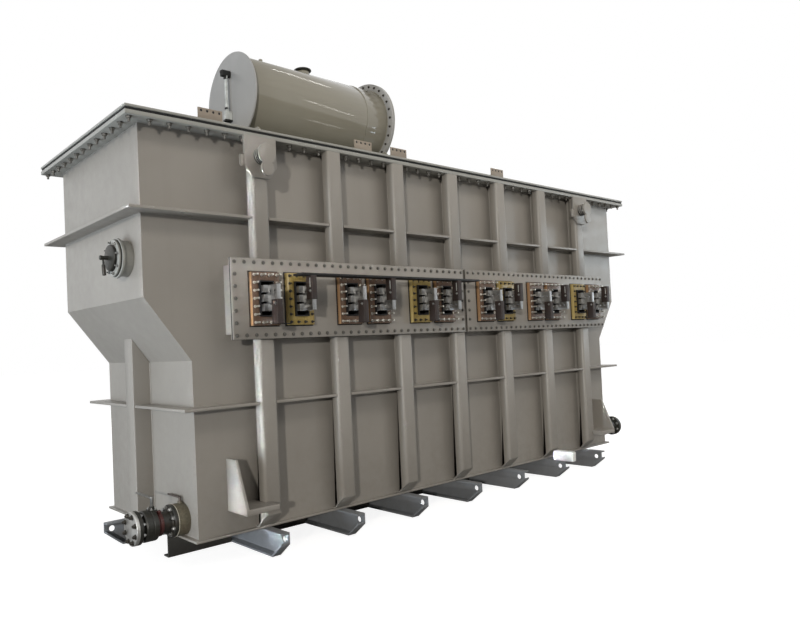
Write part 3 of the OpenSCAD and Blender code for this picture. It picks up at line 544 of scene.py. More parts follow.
coverBolts = {"inset": 38 * mm, "along": 44, "across": 12, "clear": 95 * mm,
              "nut": (15.5, 12, 19, 3, 8, 18), "head": (15, 5, 18, 2, 7, 0.5)}
along, across, inset = (coverBolts[k] for k in ("along", "across", "inset"))
xEnd, yEnd = rimHigh.x - inset, rimHigh.y - inset
xs = [-xEnd + k * 2 * xEnd / along for k in range(along + 1)]
xs = [x for x in xs if min(abs(x - s) for s in stiffX) > coverBolts["clear"]]    # none over a stiffener
ys = [-yEnd + k * 2 * yEnd / across for k in range(1, across)]
spots = [(x, s * yEnd) for x in xs for s in (-1, 1)] + [(s * xEnd, y) for y in ys for s in (-1, 1)]
# nuts under the rim in the darkened grey, painted shade
boltsAt("coverNuts", [((x, y, rimLow.z), (0, 0, -1)) for x, y in spots], coverBolts["nut"], "nutPaint",
        slot="grey_paint")
boltsAt("coverHeads", [((x, y, coverTop), (0, 0, 1)) for x, y in spots], coverBolts["head"], "edgePaint",
        slot="grey_paint")
print("cover bolts", len(spots))

seam = {"radius": 4.5, "step": 26, "out": 1 * mm, "web": 8 * mm, "foot": 180 * mm, "top": rimLow.z - 4 * mm,
        "collars": (1398 * mm, 1835 * mm), "stiffener": 64 * mm, "rib": 66 * mm, "ribSide": 65.5 * mm,
        "ribFoot": 178 * mm, "ribTop": 1240 * mm}
lines, out = [], seam["out"]


def upright(x, y, low, high):
    lines.append([(x, y, low), (x, y, high)])


for side in (-1, 1):
    y = side * (halfW + out)
    for x in [s + e * seam["web"] for s in stiffX for e in (-1, 1)]:    # both sides of each web plate
        if side > 0:
            upright(x, y, seam["foot"], seam["top"])
        else:    # the collars part the front ones
            upright(x, y, seam["foot"], seam["collars"][0])
            upright(x, y, seam["collars"][1], seam["top"])
for node, half in (("upper_belt", wallHigh.x), ("lower_belt", lowHalf)):
    low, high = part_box(node)
    cuts = [-half] + [x + e * seam["stiffener"] for x in stiffX for e in (-1, 1)] + [half]
    for z in (low.z - out, high.z + out):
        for side in (-1, 1):
            y, x = side * (halfW + out), side * (half + out)
            lines += [[(a, y, z), (b, y, z)] for a, b in zip(cuts[::2], cuts[1::2])]
            if node == "upper_belt":
                lines.append([(x, -halfW, z), (x, halfW, z)])
            else:    # the end ribs part the lower belt
                lines += [[(x, s * halfW, z), (x, s * seam["rib"], z)] for s in (-1, 1)]
for end in (-1, 1):
    for side in (-1, 1):
        upright(end * (lowHalf + out), side * seam["ribSide"], seam["ribFoot"], seam["ribTop"])
weldsAlong("plateWelds", lines, seam["radius"], seam["step"])
print("welds", len(lines))


# terminal panels

forward = (0, -1, 0)
panelBolts = {"inset": 25 * mm, "along": 30, "up": 6, "head": (9.5, 8, 12.5, 2.5, 5, 0.5)}
jointing = {"thick": 6 * mm, "behind": 1 * mm, "side": 2 * mm, "top": 1.5 * mm}    # dark line round the panel's edge
spots, bm = [], bmesh.new()
for node in ("left_panel", "right_panel"):
    low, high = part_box(node)
    inset, along, up = (panelBolts[k] for k in ("inset", "along", "up"))
    left, right, bottom, top = low.x + inset, high.x - inset, low.z + inset, high.z - inset
    for k in range(along + 1):
        x = left + k * (right - left) / along
        spots += [((x, low.y, z), forward) for z in (bottom, top)]
    for k in range(1, up):
        z = bottom + k * (top - bottom) / up
        spots += [((x, low.y, z), forward) for x in (left, right)]
    boxInto(bm, (low.x - jointing["side"], high.y - jointing["thick"], low.z - jointing["top"]),
            (high.x + jointing["side"], high.y + jointing["behind"], high.z + jointing["top"]))
# panel bolts in the darkened grey, painted shade
boltsAt("panelBolts", spots, panelBolts["head"], "nutPaint")
fromBmesh("panelJointing", bm, "gasketRubber", slot="black_rubber")

boardSet = {"size": (205 * mm, 334 * mm), "window": (105 * mm, 224 * mm), "first": 226.5 * mm, "pair": 700 * mm,
            "second": 268 * mm, "yellow": (1, 4, 7, 10), "rows": 7, "cols": 4, "inset": 18 * mm,
            "bolt": (7.5, 8, 9.5, 2, 6, 38), "nut": (7, 6, 10, 2, 4.5, 12),
            "lip": 7 * mm, "out": 16 * mm, "back": 4 * mm, "skin": 0.5 * mm, "sheet": 8 * mm}
low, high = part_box("brown_boards")
boardFace, boardBack = low.y, high.y
boardMid = (low.z + high.z) / 2
panelStarts = [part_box("left_panel")[0].x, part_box("right_panel")[0].x]
boardX = [p + boardSet["first"] + k * boardSet["pair"] + s * boardSet["second"]
          for p in panelStarts for k in range(3) for s in (0, 1)]
softEdges("brown_boards", "brownBoard", 1.5 * mm, slot="brown_laminate")
softEdges("yellow_boards", "yellowBoard", 1.5 * mm, slot="yellow_laminate")


def boardEdges(x, size, inset=0.0):
    w, h = (v / 2 - inset for v in size)
    return x - w, x + w, boardMid - h, boardMid + h


brownSpots, yellowSpots = [], []
for k, x in enumerate(boardX):
    left, right, bottom, top = boardEdges(x, boardSet["size"], boardSet["inset"])
    spots = yellowSpots if k in boardSet["yellow"] else brownSpots
    for row in range(boardSet["rows"]):
        z = bottom + row * (top - bottom) / (boardSet["rows"] - 1)
        spots += [((side, boardFace, z), forward) for side in (left, right)]
    for col in range(1, boardSet["cols"] - 1):
        across = left + col * (right - left) / (boardSet["cols"] - 1)
        spots += [((across, boardFace, z), forward) for z in (bottom, top)]
boltsAt("brownBoardBolts", brownSpots, boardSet["bolt"], "brightStud")
boltsAt("yellowBoardBolts", yellowSpots, boardSet["nut"], "darkBolt")

bm = bmesh.new()
lip, back, skin = boardSet["lip"], boardBack - boardSet["back"], boardSet["skin"]
for x in boardX:    # dark lining of each opening
    left, right, bottom, top = boardEdges(x, boardSet["window"])
    for a, b in (((left, bottom), (left + lip, top)), ((right - lip, bottom), (right, top)),
                 ((left + lip, top - lip), (right - lip, top)), ((left + lip, bottom), (right - lip, bottom + lip))):
        boxInto(bm, (a[0], boardFace - boardSet["out"], a[1]), (b[0], boardBack, b[1]))
    boxInto(bm, (left + lip, back, bottom + lip), (right - lip, boardBack - skin, top - lip))
    left, right, bottom, top = boardEdges(x, boardSet["size"], -boardSet["sheet"])    # black sheet behind the board
    boxInto(bm, (left, back, bottom), (right, boardBack + skin, top))
fromBmesh("boardLinings", bm, "blackTrim", slot="black_trim")

pairRod = {"r": 4 * mm, "lap": 10 * mm, "out": 8 * mm, "drop": 158 * mm}
bm = bmesh.new()
for a, b in zip(boardX[::2], boardX[1::2]):    # dark rod low between the two boards of a pair
    start, end = a + boardSet["size"][0] / 2 - pairRod["lap"], b - boardSet["size"][0] / 2 + pairRod["lap"]
    latheInto(bm, [(pairRod["r"], 0), (pairRod["r"], end - start)],
              towards((start, boardFace - pairRod["out"], boardMid - pairRod["drop"]), (1, 0, 0)), 12)
fromBmesh("pairRods", bm, "blackTrim", 30, slot="black_trim")

softEdges("terminals", "tinned", 2 * mm, slot="tinned_bar")
softEdges("terminal_boots", "boot", 5 * mm, slot="dark_boot", segments=3)
softEdges("tie_strip", "blackTrim", 2 * mm, slot="black_trim")

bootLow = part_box("terminal_boots")[0]
bootSet = {"half": 21 * mm, "split": 12 * mm, "in": 17 * mm, "low": -27 * mm, "high": 53 * mm,
           "bolt": (7, 6, 9.5, 2, 4, 3), "line": (76 * mm, 136 * mm), "lineHalf": 2.5 * mm, "proud": 1.2 * mm}
spots, bm = [], bmesh.new()
for k, x in enumerate(boardX):
    up = k % 2
    y, z = bootLow.y + bootSet["in"], boardMid - bootSet["split"]
    for side in (-1, 1):
        face = x + side * bootSet["half"]
        spots.append(((face, y, z + bootSet["high" if up else "low"]), (side, 0, 0)))
        if up:    # pale seam line of the upper boots
            near, far = sorted((face, face + side * bootSet["proud"]))
            low, high = (z + v for v in bootSet["line"])
            boxInto(bm, (near, y - bootSet["lineHalf"], low), (far, y + bootSet["lineHalf"], high))
boltsAt("bootBolts", spots, bootSet["bolt"], "zinc")
fromBmesh("bootSlots", bm, "palePlastic", slot="pale_plastic")

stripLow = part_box("tie_strip")[0]
stripPin = {"x": (-1350 * mm, -620 * mm), "in": 60 * mm, "size": (6, 8, 9, 2, 3, 9)}
boltsAt("stripPins", [((x, stripLow.y + stripPin["in"], stripLow.z), (0, 0, -1)) for x in stripPin["x"]],
        stripPin["size"], "darkBolt", slot="black_trim")
print("terminals", len(boardX))


# expansion vessel

shellLow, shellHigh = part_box("vessel_shell")
ringLow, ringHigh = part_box("vessel_ring")
vesselY, vesselZ = (shellLow.y + shellHigh.y) / 2, (shellLow.z + shellHigh.z) / 2
vesselR = (shellHigh.z - shellLow.z) / 2
ringR = (ringHigh.z - ringLow.z) / 2
vesselSet = {"bolts": 30, "boltCircle": ringR - 24 * mm, "bolt": (7.5, 6.5, 10, 1.5, 4, 4), "seamBack": 210 * mm,
             "bead": 3.5, "beadStep": 24}
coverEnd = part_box("vessel_cover")[1].x
ringSpots, coverFaceSpots = (circleSpots((x, vesselY, vesselZ), vesselSet["boltCircle"], vesselSet["bolts"], facing, 0)
                             for x, facing in ((ringLow.x, -1), (coverEnd, 1)))
boltsAt("vesselBolts", [s for pair in zip(ringSpots, coverFaceSpots) for s in pair], vesselSet["bolt"], "darkBolt")


def hoop(x, r, steps=72):
    turns = [2 * math.pi * k / steps for k in range(steps + 1)]
    return [(x, vesselY + r * math.cos(a), vesselZ + r * math.sin(a)) for a in turns]


weldsAlong("vesselSeams", [hoop(ringLow.x - vesselSet["seamBack"], vesselR), hoop(shellLow.x, vesselR - 1 * mm),
                           hoop(ringLow.x - 2 * mm, vesselR + 1 * mm)],
           vesselSet["bead"], vesselSet["beadStep"], "vesselPaint")

capLow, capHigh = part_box("filler_cap")
capR, capTall = (capHigh.x - capLow.x) / 2, capHigh.z - capLow.z
capProfile = ((0, 0), (0.72, 0), (0.96, 0.25), (1, 0.45), (0.97, 0.8), (0.9, 0.95), (0.8, 1), (0.74, 0.82),
              (0, 0.82))    # shares of radius and height
bm = bmesh.new()
latheInto(bm, [(capR * r, capTall * z) for r, z in capProfile],
          Matrix.Translation(((capLow.x + capHigh.x) / 2, (capLow.y + capHigh.y) / 2, capLow.z)), 48)
fromBmesh("fillerCapLook", bm, "valveBlack", 30, slot="black_trim", replaces=("filler_cap",))

knob = {"x": -1456 * mm, "r": 15 * mm, "h": 48 * mm, "stem": 10.5 * mm, "sunk": 4 * mm,
        "profile": ((0.7, 0.5), (1, 0.55), (1, 0.93), (0.85, 1))}
bm = bmesh.new()
latheInto(bm, [(knob["stem"], -knob["sunk"])] + [(knob["r"] * r, knob["h"] * z) for r, z in knob["profile"]],
          Matrix.Translation((knob["x"], vesselY, vesselZ + vesselR)), 24)
fromBmesh("ventPlug", bm, "vesselPaint", 30)

gaugeLow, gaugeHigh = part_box("level_gauge")
gaugeY = (gaugeLow.y + gaugeHigh.y) / 2
gauge = {"out": 34 * mm, "head": 46 * mm, "foot": 30 * mm, "footOut": 56 * mm, "footHalf": 17 * mm,
         "footUp": 45 * mm, "base": 14 * mm, "baseLap": 2 * mm,
         "tube": 10 * mm, "lap": 5 * mm, "pale": 58 * mm, "guard": 17 * mm, "guardR": 3 * mm, "nutTall": 16 * mm,
         "topNut": ((12, 0), (16, 3), (16, 16)), "tubeNut": ((13, 0), (16.5, 3), (16.5, 11), (13, 14)),
         "button": ((6, -2), (9, 1), (9, 14), (6, 17)), "buttonIn": 1 * mm}
gaugeX = gaugeHigh.x - gauge["out"]
tubeLow, tubeHigh = gaugeLow.z + gauge["foot"], gaugeHigh.z - gauge["head"]
footX, footHalf, baseLap = gaugeHigh.x - gauge["footOut"], gauge["footHalf"], gauge["baseLap"]
bm = bmesh.new()
boxInto(bm, (gaugeLow.x, gaugeLow.y, tubeHigh), (gaugeHigh.x, gaugeHigh.y, gaugeHigh.z), bevel=7 * mm)
latheInto(bm, inMm(gauge["topNut"]), towards((gaugeX, gaugeY, tubeHigh - gauge["nutTall"]), (0, 0, 1)), 20)
latheInto(bm, inMm(gauge["tubeNut"]), towards((gaugeX, gaugeY, tubeLow + gauge["pale"]), (0, 0, 1)), 20)
boxInto(bm, (footX - baseLap, gaugeY - footHalf - baseLap, gaugeLow.z),
        (gaugeHigh.x, gaugeY + footHalf + baseLap, gaugeLow.z + gauge["base"]), bevel=3 * mm)
latheInto(bm, inMm(gauge["button"]),
          towards((gaugeLow.x + gauge["buttonIn"], gaugeY, gaugeHigh.z - gauge["head"] / 2), (0, 0, 1)), 16)
fromBmesh("gaugeBlocks", bm, "blackTrim", 30, slot="black_trim", replaces=("level_gauge",))
bm = bmesh.new()
for r, side, steps in ((gauge["tube"], 0, 20), (gauge["guardR"], -1, 10), (gauge["guardR"], 1, 10)):
    latheInto(bm, [(r, -gauge["lap"]), (r, tubeHigh - tubeLow + gauge["lap"])],    # tube, then a guard rod on each side
              Matrix.Translation((gaugeX, gaugeY + side * gauge["guard"], tubeLow)), steps)
boxInto(bm, (footX, gaugeY - footHalf, gaugeLow.z), (gaugeHigh.x, gaugeY + footHalf, tubeLow + gauge["footUp"]),
        bevel=5 * mm)
fromBmesh("gaugeTube", bm, "sightTube", 30, slot="clear_tube")
print("vessel done")


# trunnion rings, relief device, valves

trunnion = {"drop": 125 * mm, "bracket": halfW + 142 * mm, "ring": 56 * mm, "step": 18 * mm, "side": 120 * mm,
            "firstRing": 12 * mm, "firstGap": 4 * mm, "gapShift": (2 * mm, 3.5 * mm), "gapIn": 1 * mm,
            "tab": (33 * mm, 16 * mm, 80 * mm), "tabLap": 8 * mm}
trunnionZ = rimLow.z - trunnion["drop"]
r, face, step, gapIn = (trunnion[k] for k in ("ring", "bracket", "step", "gapIn"))
bm, dark = bmesh.new(), bmesh.new()
for x in (stiffX[0], stiffX[-1]):
    for side in (-1, 1):
        for k in range(3):
            y = side * (face + trunnion["firstRing"] + k * step)
            discInto(bm, towards((x, y, trunnionZ), (0, side, 0)), inner=r - 6 * mm, outer=r, thick=10 * mm,
                     edge=1.5 * mm)
        for k in range(4):    # black rings as painted shade in the gaps between the rings, open at the lower left, the outer one all round
            y = side * (face + trunnion["firstGap"] + k * step)
            left, down = trunnion["gapShift"] if k < 3 else (0, 0)
            discInto(dark, towards((x - left, y, trunnionZ - down), (0, side, 0)), inner=40 * mm,
                     outer=r - gapIn if k < 3 else r + gapIn, thick=5 * mm, edge=0.5 * mm)
        out, thick, tall = trunnion["tab"]    # keeper tab at the bracket's side
        near, far = sorted((side * face, side * (face - thick)))
        edge = x - trunnion["side"]
        boxInto(bm, (edge - out, near, trunnionZ - tall), (edge + trunnion["tabLap"], far, trunnionZ), bevel=14 * mm)
fromBmesh("trunnionRings", bm, "tankPaint", 30)
fromBmesh("trunnionGaps", dark, "gasketRubber", 30, slot="black_rubber")

lugLow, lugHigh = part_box("cover_lugs")
lug = {"places": (-2.2, -0.96, -0.6, 0.6), "step": 165 / 4 * mm, "drop": 17 * mm, "hole": 8.6 * mm, "plate": 8 * mm,
       "sunk": 0.8 * mm}
bm = bmesh.new()
for x in lug["places"]:    # dark plugs in the lug holes
    for k in (-1.5, -0.5, 0.5, 1.5):
        place = towards((x + k * lug["step"], lugLow.y + lug["sunk"], lugHigh.z - lug["drop"]), (0, 1, 0))
        discInto(bm, place, inner=lug["hole"] - 1 * mm, outer=lug["hole"], thick=lug["plate"] - 2 * lug["sunk"],
                 edge=0.7 * mm, steps=18)
fromBmesh("lugPlugs", bm, "blackTrim", 30, slot="black_trim")

reliefLow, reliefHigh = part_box("relief_valve")
reliefY, reliefZ = (reliefLow.y + reliefHigh.y) / 2, (reliefLow.z + reliefHigh.z) / 2
out = reliefHigh.x - reliefLow.x
relief = {"flange": 110 * mm, "dome": 80 * mm, "domeEnd": 40 * mm, "gasket": 2 * mm, "bolts": 8, "boltCircle": 96 * mm,
          "boltTurn": 0.2, "boltFace": 17.8 * mm, "bolt": (8, 7, 11, 2, 4.5, 9), "arm": 20 * mm,
          "plug": ((8, 0), (10.5, 4), (11.5, 30), (11.5, 62), (9, 66)), "plugAt": (-4 * mm, -40 * mm),
          "pin": ((6, 0), (6, 60)), "pinUp": 4 * mm}
place = towards((reliefHigh.x, reliefY, reliefZ), (-1, 0, 0))
armX = reliefLow.x + relief["arm"]
r, wide, end = relief["dome"], relief["flange"] + relief["gasket"], relief["domeEnd"]
bm = bmesh.new()
latheInto(bm, [(wide, 0), (wide, 0.007), (r + 0.002, 0.008), (r, 0.014), (r, 0.024), (r - 0.004, 0.026),
               (r - 0.004, 0.029), (r, 0.031), (r - 0.003, 0.037), (r - 0.014, end), (0.03, end + 0.002),
               (0.013, end + 0.004), (0.011, out - 0.02), (0.0135, out - 0.016), (0.0135, out - 0.003),
               (0.01, out)], place, 48)
latheInto(bm, inMm(relief["plug"]), towards((armX, reliefY + relief["plugAt"][0], reliefZ + relief["plugAt"][1]),
                                            (0.06, 0, -1)), 20)    # switch plug under the arm
latheInto(bm, inMm(relief["pin"]), towards((armX, reliefY, reliefZ + relief["pinUp"]), (0.03, -0.06, -1)), 12)
fromBmesh("reliefLook", bm, "valveBlack", 30, slot="black_paint", replaces=("relief_valve",))
bm = bmesh.new()
inner, outer = relief["dome"] - 0.004, relief["flange"]
latheInto(bm, [(inner, 0.0075), (outer - 0.001, 0.0075), (outer, 0.0085), (outer, 0.016), (outer - 0.002, 0.018),
               (inner + 0.008, 0.018), (inner, 0.019)], place, 48)
fromBmesh("reliefFlange", bm, "edgePaint", 30)
boltsAt("reliefBolts", circleSpots((reliefHigh.x - relief["boltFace"], reliefY, reliefZ), relief["boltCircle"],
                                   relief["bolts"], -1, math.pi / relief["bolts"] + relief["boltTurn"]),
        relief["bolt"], "zinc")

blankLow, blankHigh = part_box("drain_blank")
valveY, valveZ = (blankLow.y + blankHigh.y) / 2, (blankLow.z + blankHigh.z) / 2
valveR = (blankHigh.z - blankLow.z) / 2
drainLow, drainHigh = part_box("drain_valve")
collarLow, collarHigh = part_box("drain_collar")
softEdges("isolating_valve", "waferGrey", 2 * mm, slot="grey_casting")
softEdges("drain_blank", "blankSteel", 3 * mm, slot="bare_steel")
drainStem = frame["record"]["behaviour"]["joints"][0]["pos_m"][0]

drain = {"flange": 22 * mm, "bodyR": 93 * mm, "bodyEnd": 82 * mm, "tailR": 64 * mm, "neckR": 66 * mm, "waistR": 70 * mm,
         "stemR": 15.5 * mm, "glandR": 18 * mm, "glandLow": 72 * mm, "glandHigh": 97 * mm, "plateHalf": 34 * mm,
         "plate": (-24 * mm, 20 * mm, 84 * mm, 94 * mm), "boltUp": 93.5 * mm, "bolt": (6, 5, 8, 1.5, 3.5, 5),
         "boltAt": ((-14, -26), (-14, 26), (12, -27), (12, 27))}
flangeT, bodyR, bodyEnd = drain["flange"], drain["bodyR"], drain["bodyEnd"]
bm = bmesh.new()
latheInto(bm, [(valveR, 0), (valveR, flangeT - 0.003), (valveR - 0.003, flangeT), (drain["tailR"] + 0.01, flangeT),
               (drain["tailR"] + 0.002, flangeT + 0.008), (drain["tailR"], drainHigh.x - collarHigh.x)],
          towards((drainHigh.x, valveY, valveZ), (-1, 0, 0)), 56)
nose = collarLow.x - drainLow.x
noseFlange = nose - flangeT
latheInto(bm, [(bodyR - 0.013, 0), (bodyR - 0.002, 0.004), (bodyR, 0.01), (bodyR, 0.03), (bodyR - 0.003, 0.033),
               (bodyR - 0.003, 0.039), (bodyR, 0.042), (bodyR, bodyEnd - 0.008), (bodyR - 0.005, bodyEnd),
               (drain["waistR"], bodyEnd + 0.004), (drain["neckR"], noseFlange - 0.006), (drain["waistR"], noseFlange),
               (valveR - 0.003, noseFlange), (valveR, noseFlange + 0.003), (valveR, nose)],
          towards((collarLow.x, valveY, valveZ), (-1, 0, 0)), 56)
glandTop = drainHigh.z - valveZ
latheInto(bm, [(drain["glandR"], drain["glandLow"]), (drain["glandR"], drain["glandHigh"]),
               (drain["stemR"], drain["glandHigh"] + 0.002), (drain["stemR"], glandTop - 0.002),
               (drain["stemR"] - 0.0015, glandTop)], Matrix.Translation((drainStem, valveY, valveZ)), 24)
left, right, low, high = drain["plate"]    # gland plate
boxInto(bm, (drainStem + left, valveY - drain["plateHalf"], valveZ + low),
        (drainStem + right, valveY + drain["plateHalf"], valveZ + high), bevel=2 * mm)
fromBmesh("drainValveLook", bm, "valveBlack", 30, slot="black_paint", replaces=("drain_valve",))
boltsAt("glandBolts", [((drainStem + x * mm, valveY + y * mm, valveZ + drain["boltUp"]), (0, 0, 1))
                       for x, y in drain["boltAt"]], drain["bolt"], "zinc")

collar = {"long": collarHigh.x - collarLow.x, "r": 75.5 * mm, "end": 72 * mm, "boss": ((13, 0), (13, 10), (9, 14)),
          "bossAt": (-13 * mm, -22 * mm, 69 * mm), "bossTo": (0, -0.3, 1)}
bm = bmesh.new()
latheInto(bm, [(0.066, 0), (0.073, 0.002), (collar["r"], 0.007), (collar["r"], collar["long"] - 0.012),
               (collar["end"], collar["long"] - 0.009), (collar["end"], collar["long"])],
          towards((collarHigh.x, valveY, valveZ), (-1, 0, 0)), 56)
x, y, z = collar["bossAt"]    # drain boss on top
latheInto(bm, inMm(collar["boss"]), towards((collarHigh.x + x, valveY + y, valveZ + z), collar["bossTo"]), 18)
fromBmesh("drainCollarLook", bm, "collarRed", 30, slot="red_paint", replaces=("drain_collar",))

flangeBolts = {"count": 8, "circle": valveR - 20 * mm, "head": (13, 11, 16, 3, 8, 6), "nut": (12, 11, 15, 2, 7, 6),
               "filterBack": 44 * mm}


def flangeSpots(x, facing):
    return circleSpots((x, valveY, valveZ), flangeBolts["circle"], flangeBolts["count"], facing)


boltsAt("blankBolts", flangeSpots(blankLow.x, -1), flangeBolts["head"], "darkBolt")
boltsAt("drainNuts", flangeSpots(drainLow.x + flangeT, 1) + flangeSpots(drainHigh.x - flangeT, -1),
        flangeBolts["nut"], "zinc")
bm = bmesh.new()
paleT = 4 * mm    # pale jointing between the two valves
discInto(bm, towards((drainHigh.x + paleT, valveY, valveZ), (-1, 0, 0)), inner=valveR - 1 * mm, outer=valveR + 1.2 * mm,
         thick=paleT, edge=0.5 * mm, steps=56)
fromBmesh("valveGasket", bm, "paleGasket", 30, slot="pale_plastic")

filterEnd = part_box("filter_valve")[1].x
softEdges("filter_valve", "valveBlack", 3 * mm, slot="black_paint")
boltsAt("filterBolts", flangeSpots(filterEnd, 1) + flangeSpots(filterEnd - flangeBolts["filterBack"], -1),
        flangeBolts["nut"], "zinc")
softEdges("earth_block", "palePlastic", 4 * mm, slot="pale_plastic")
softEdges("drain_lever", "zinc", 1.5 * mm, body="drain_lever", slot="bare_steel")

leverLow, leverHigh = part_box("isolating_lever")
rod = {"r": 6.4 * mm, "sides": 14, "bend": 16 * mm, "elbow": 6, "tip": 4 * mm, "start": 1 * mm, "drop": 14 * mm,
       "skin": 0.1 * mm, "hub": 8.4 * mm, "stem": 8.9 * mm}
leverX, leverTall = (leverLow.x + leverHigh.x) / 2, leverHigh.z - leverLow.z
rodY, rodZ = valveY + rod["start"], leverHigh.z - rod["r"] - rod["skin"]
path = [(rodY, rodZ - rod["drop"])]
for k in range(rod["elbow"] + 1):    # elbow from the hub into the rod
    a = math.pi / 2 * k / rod["elbow"]
    path.append((rodY + rod["bend"] * (1 - math.cos(a)), rodZ - rod["bend"] * (1 - math.sin(a))))
path.append((leverHigh.y - rod["tip"], rodZ))
turns = [2 * math.pi * j / rod["sides"] for j in range(rod["sides"])]
bm = bmesh.new()
rings = []
for k, (y, z) in enumerate(path):
    ahead, back = path[min(k + 1, len(path) - 1)], path[max(k - 1, 0)]
    lean = math.atan2(ahead[1] - back[1], ahead[0] - back[0])
    rings.append([bm.verts.new((leverX + rod["r"] * math.cos(t), y - rod["r"] * math.sin(t) * math.sin(lean),
                                z + rod["r"] * math.sin(t) * math.cos(lean))) for t in turns])
rings.append([bm.verts.new(((v.co.x + leverX) / 2, leverHigh.y, (v.co.z + rodZ) / 2)) for v in rings[-1]])
for a, b in zip(rings, rings[1:]):
    for j in range(rod["sides"]):
        i = (j + 1) % rod["sides"]
        bm.faces.new((a[j], a[i], b[i], b[j]))
bm.faces.new(rings[0])
bm.faces.new(rings[-1])
latheInto(bm, [(rod["stem"], 0), (rod["stem"], leverTall - 0.03), (rod["hub"], leverTall - 0.026),
               (rod["hub"], leverTall - 0.006), (0.006, leverTall - 0.003)],
          Matrix.Translation((leverX, valveY, leverLow.z)), 24)
fromBmesh("isolatingLeverLook", bm, "leverDark", 40, body="isolating_lever", slot="dark_steel",
          replaces=("isolating_lever",))
print("valves done")


# floor, light, camera

def stagePlane(half, tone, rough, glow):
    # dull to the part, white to the camera
    mat, tree, shader = startFinish("floorWhite", rough)
    shader.inputs["Base Color"].default_value = (tone, tone, tone, 1)
    path = putNode(tree, "ShaderNodeLightPath")
    light = putNode(tree, "ShaderNodeEmission", {"Color": (1, 1, 1, 1), "Strength": glow})
    both = putNode(tree, "ShaderNodeAddShader")
    pick = putNode(tree, "ShaderNodeMixShader")
    out = tree.nodes["Material Output"]
    wire(tree, (shader.outputs[0], both.inputs[0]), (light.outputs[0], both.inputs[1]),
         (path.outputs["Is Camera Ray"], pick.inputs[0]), (shader.outputs[0], pick.inputs[1]),
         (both.outputs[0], pick.inputs[2]), (pick.outputs[0], out.inputs["Surface"]))
    mesh = bpy.data.meshes.new("floor")
    mesh.from_pydata([(-half, -half, 0), (half, -half, 0), (half, half, 0), (-half, half, 0)], [], [(0, 1, 2, 3)])
    mesh.materials.append(mat)
    floor = bpy.data.objects.new("floor", mesh)
    scene.collection.objects.link(floor)


def studioWorld(colour, strength):
    # white where the camera or a mirror looks, dim as light on the part
    world = bpy.data.worlds.new("studio")
    scene.world = world
    world.use_nodes = True
    tree = world.node_tree
    tree.nodes.clear()
    path = putNode(tree, "ShaderNodeLightPath")
    seen = putNode(tree, "ShaderNodeMath", operation="ADD")
    seen.use_clamp = True
    more = putNode(tree, "ShaderNodeMath", operation="ADD")
    wire(tree, (path.outputs["Is Camera Ray"], seen.inputs[0]), (path.outputs["Is Glossy Ray"], more.inputs[0]),
         (path.outputs["Is Transmission Ray"], more.inputs[1]), (more.outputs[0], seen.inputs[1]))
    room = putNode(tree, "ShaderNodeBackground", {"Color": colour, "Strength": strength})
    white = putNode(tree, "ShaderNodeBackground", {"Color": (1, 1, 1, 1), "Strength": 1.0})
    pick = putNode(tree, "ShaderNodeMixShader")
    out = putNode(tree, "ShaderNodeOutputWorld")
    wire(tree, (seen.outputs[0], pick.inputs[0]), (room.outputs[0], pick.inputs[1]), (white.outputs[0], pick.inputs[2]),
         (pick.outputs[0], out.inputs["Surface"]))


def panelLight(name, position, target, size, power, colour, mirrored=True, spread=180):
    lamp = bpy.data.lights.new(name, "AREA")
    lamp.shape = "RECTANGLE"
    lamp.size, lamp.size_y = size
    lamp.energy = power
    lamp.color = colour
    lamp.spread = math.radians(spread)
    piece = bpy.data.objects.new(name, lamp)
    scene.collection.objects.link(piece)
    piece.location = position
    piece.rotation_euler = (Vector(target) - Vector(position)).to_track_quat("-Z", "Y").to_euler()
    piece.visible_glossy = mirrored
    piece.visible_camera = False


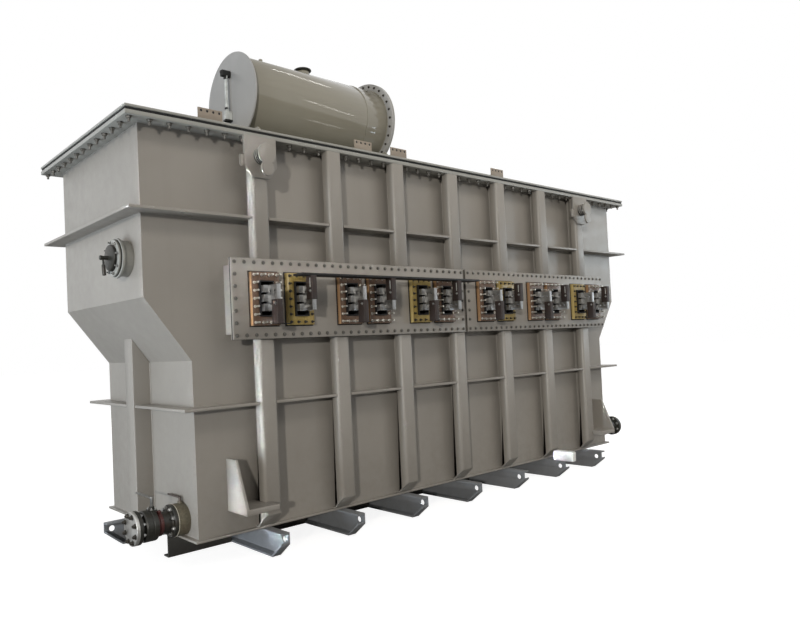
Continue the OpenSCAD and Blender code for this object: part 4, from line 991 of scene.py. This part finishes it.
stagePlane(half=60, tone=0.3, rough=0.9, glow=0.88)
studioWorld(colour=(1.0, 0.96, 0.9, 1), strength=0.16)
panelLight("keyWindow", (-22.6, -18, 5.6), (-1.0, -0.7, 1.6), (1.0, 1.0), 3500, (1.0, 0.95, 0.87))
panelLight("leftDoor", (-12, -1.25, 0.9), (-2.3, -0.7, 1.0), (1.0, 1.8), 265, (0.74, 0.86, 1.0))
panelLight("leftStrip", (-12, -0.95, 1.35), (0, -0.95, 1.35), (0.45, 2.6), 7, (0.88, 0.94, 1.0), False, 2)
panelLight("floorBounce", (-5.5, -0.3, 0.1), (-2.0, -0.3, 0.9), (2.5, 3.0), 130, (0.84, 0.92, 1.0), False)
panelLight("frontFill", (0.5, -5, 6.5), (0, -0.7, 2.0), (8, 1.5), 170, (1.0, 0.94, 0.86), False)
panelLight("rearFill", (5.5, 8.5, 5), (0.3, 0.7, 1.4), (6, 4), 950, (1.0, 0.97, 0.93), False)
panelLight("rightSky", (6.2, -3.0, 2.6), (2.4, -0.7, 2.2), (1.6, 1.6), 42, (0.8, 0.92, 1.0))
thinRows = {    # rows that mirror in the vessel: middle, length and width, power
    "lampRow": ((0.8, -0.73, 7.07), (1.9, 0.05), 9),
    "windowRow": ((4.5, -7.97, 5.2), (5, 0.08), 25),
    "doorRow": ((3.0, -5.0, 0.12), (3.2, 0.05), 10),
}
rowAim = (-0.24, 3.1)    # y and z near the vessel's middle
for name, (place, size, power) in thinRows.items():
    panelLight(name, place, (place[0], *rowAim), size, power, (1.0, 0.98, 0.94))

view = {"place": (-4.2386, -4.4146, 1.3039), "turn": (91.6445, 2.6468, -39.848), "lens": 30.5314,
        "shift": (0.06736, 0.0096)}
lens = bpy.data.cameras.new("photoView")
lens.sensor_fit = "HORIZONTAL"
lens.sensor_width = 36
lens.lens = view["lens"]
lens.shift_x, lens.shift_y = view["shift"]
lens.clip_end = 200
camera = bpy.data.objects.new("photoView", lens)
camera.location = view["place"]
camera.rotation_euler = [math.radians(a) for a in view["turn"]]
scene.collection.objects.link(camera)
scene.camera = camera
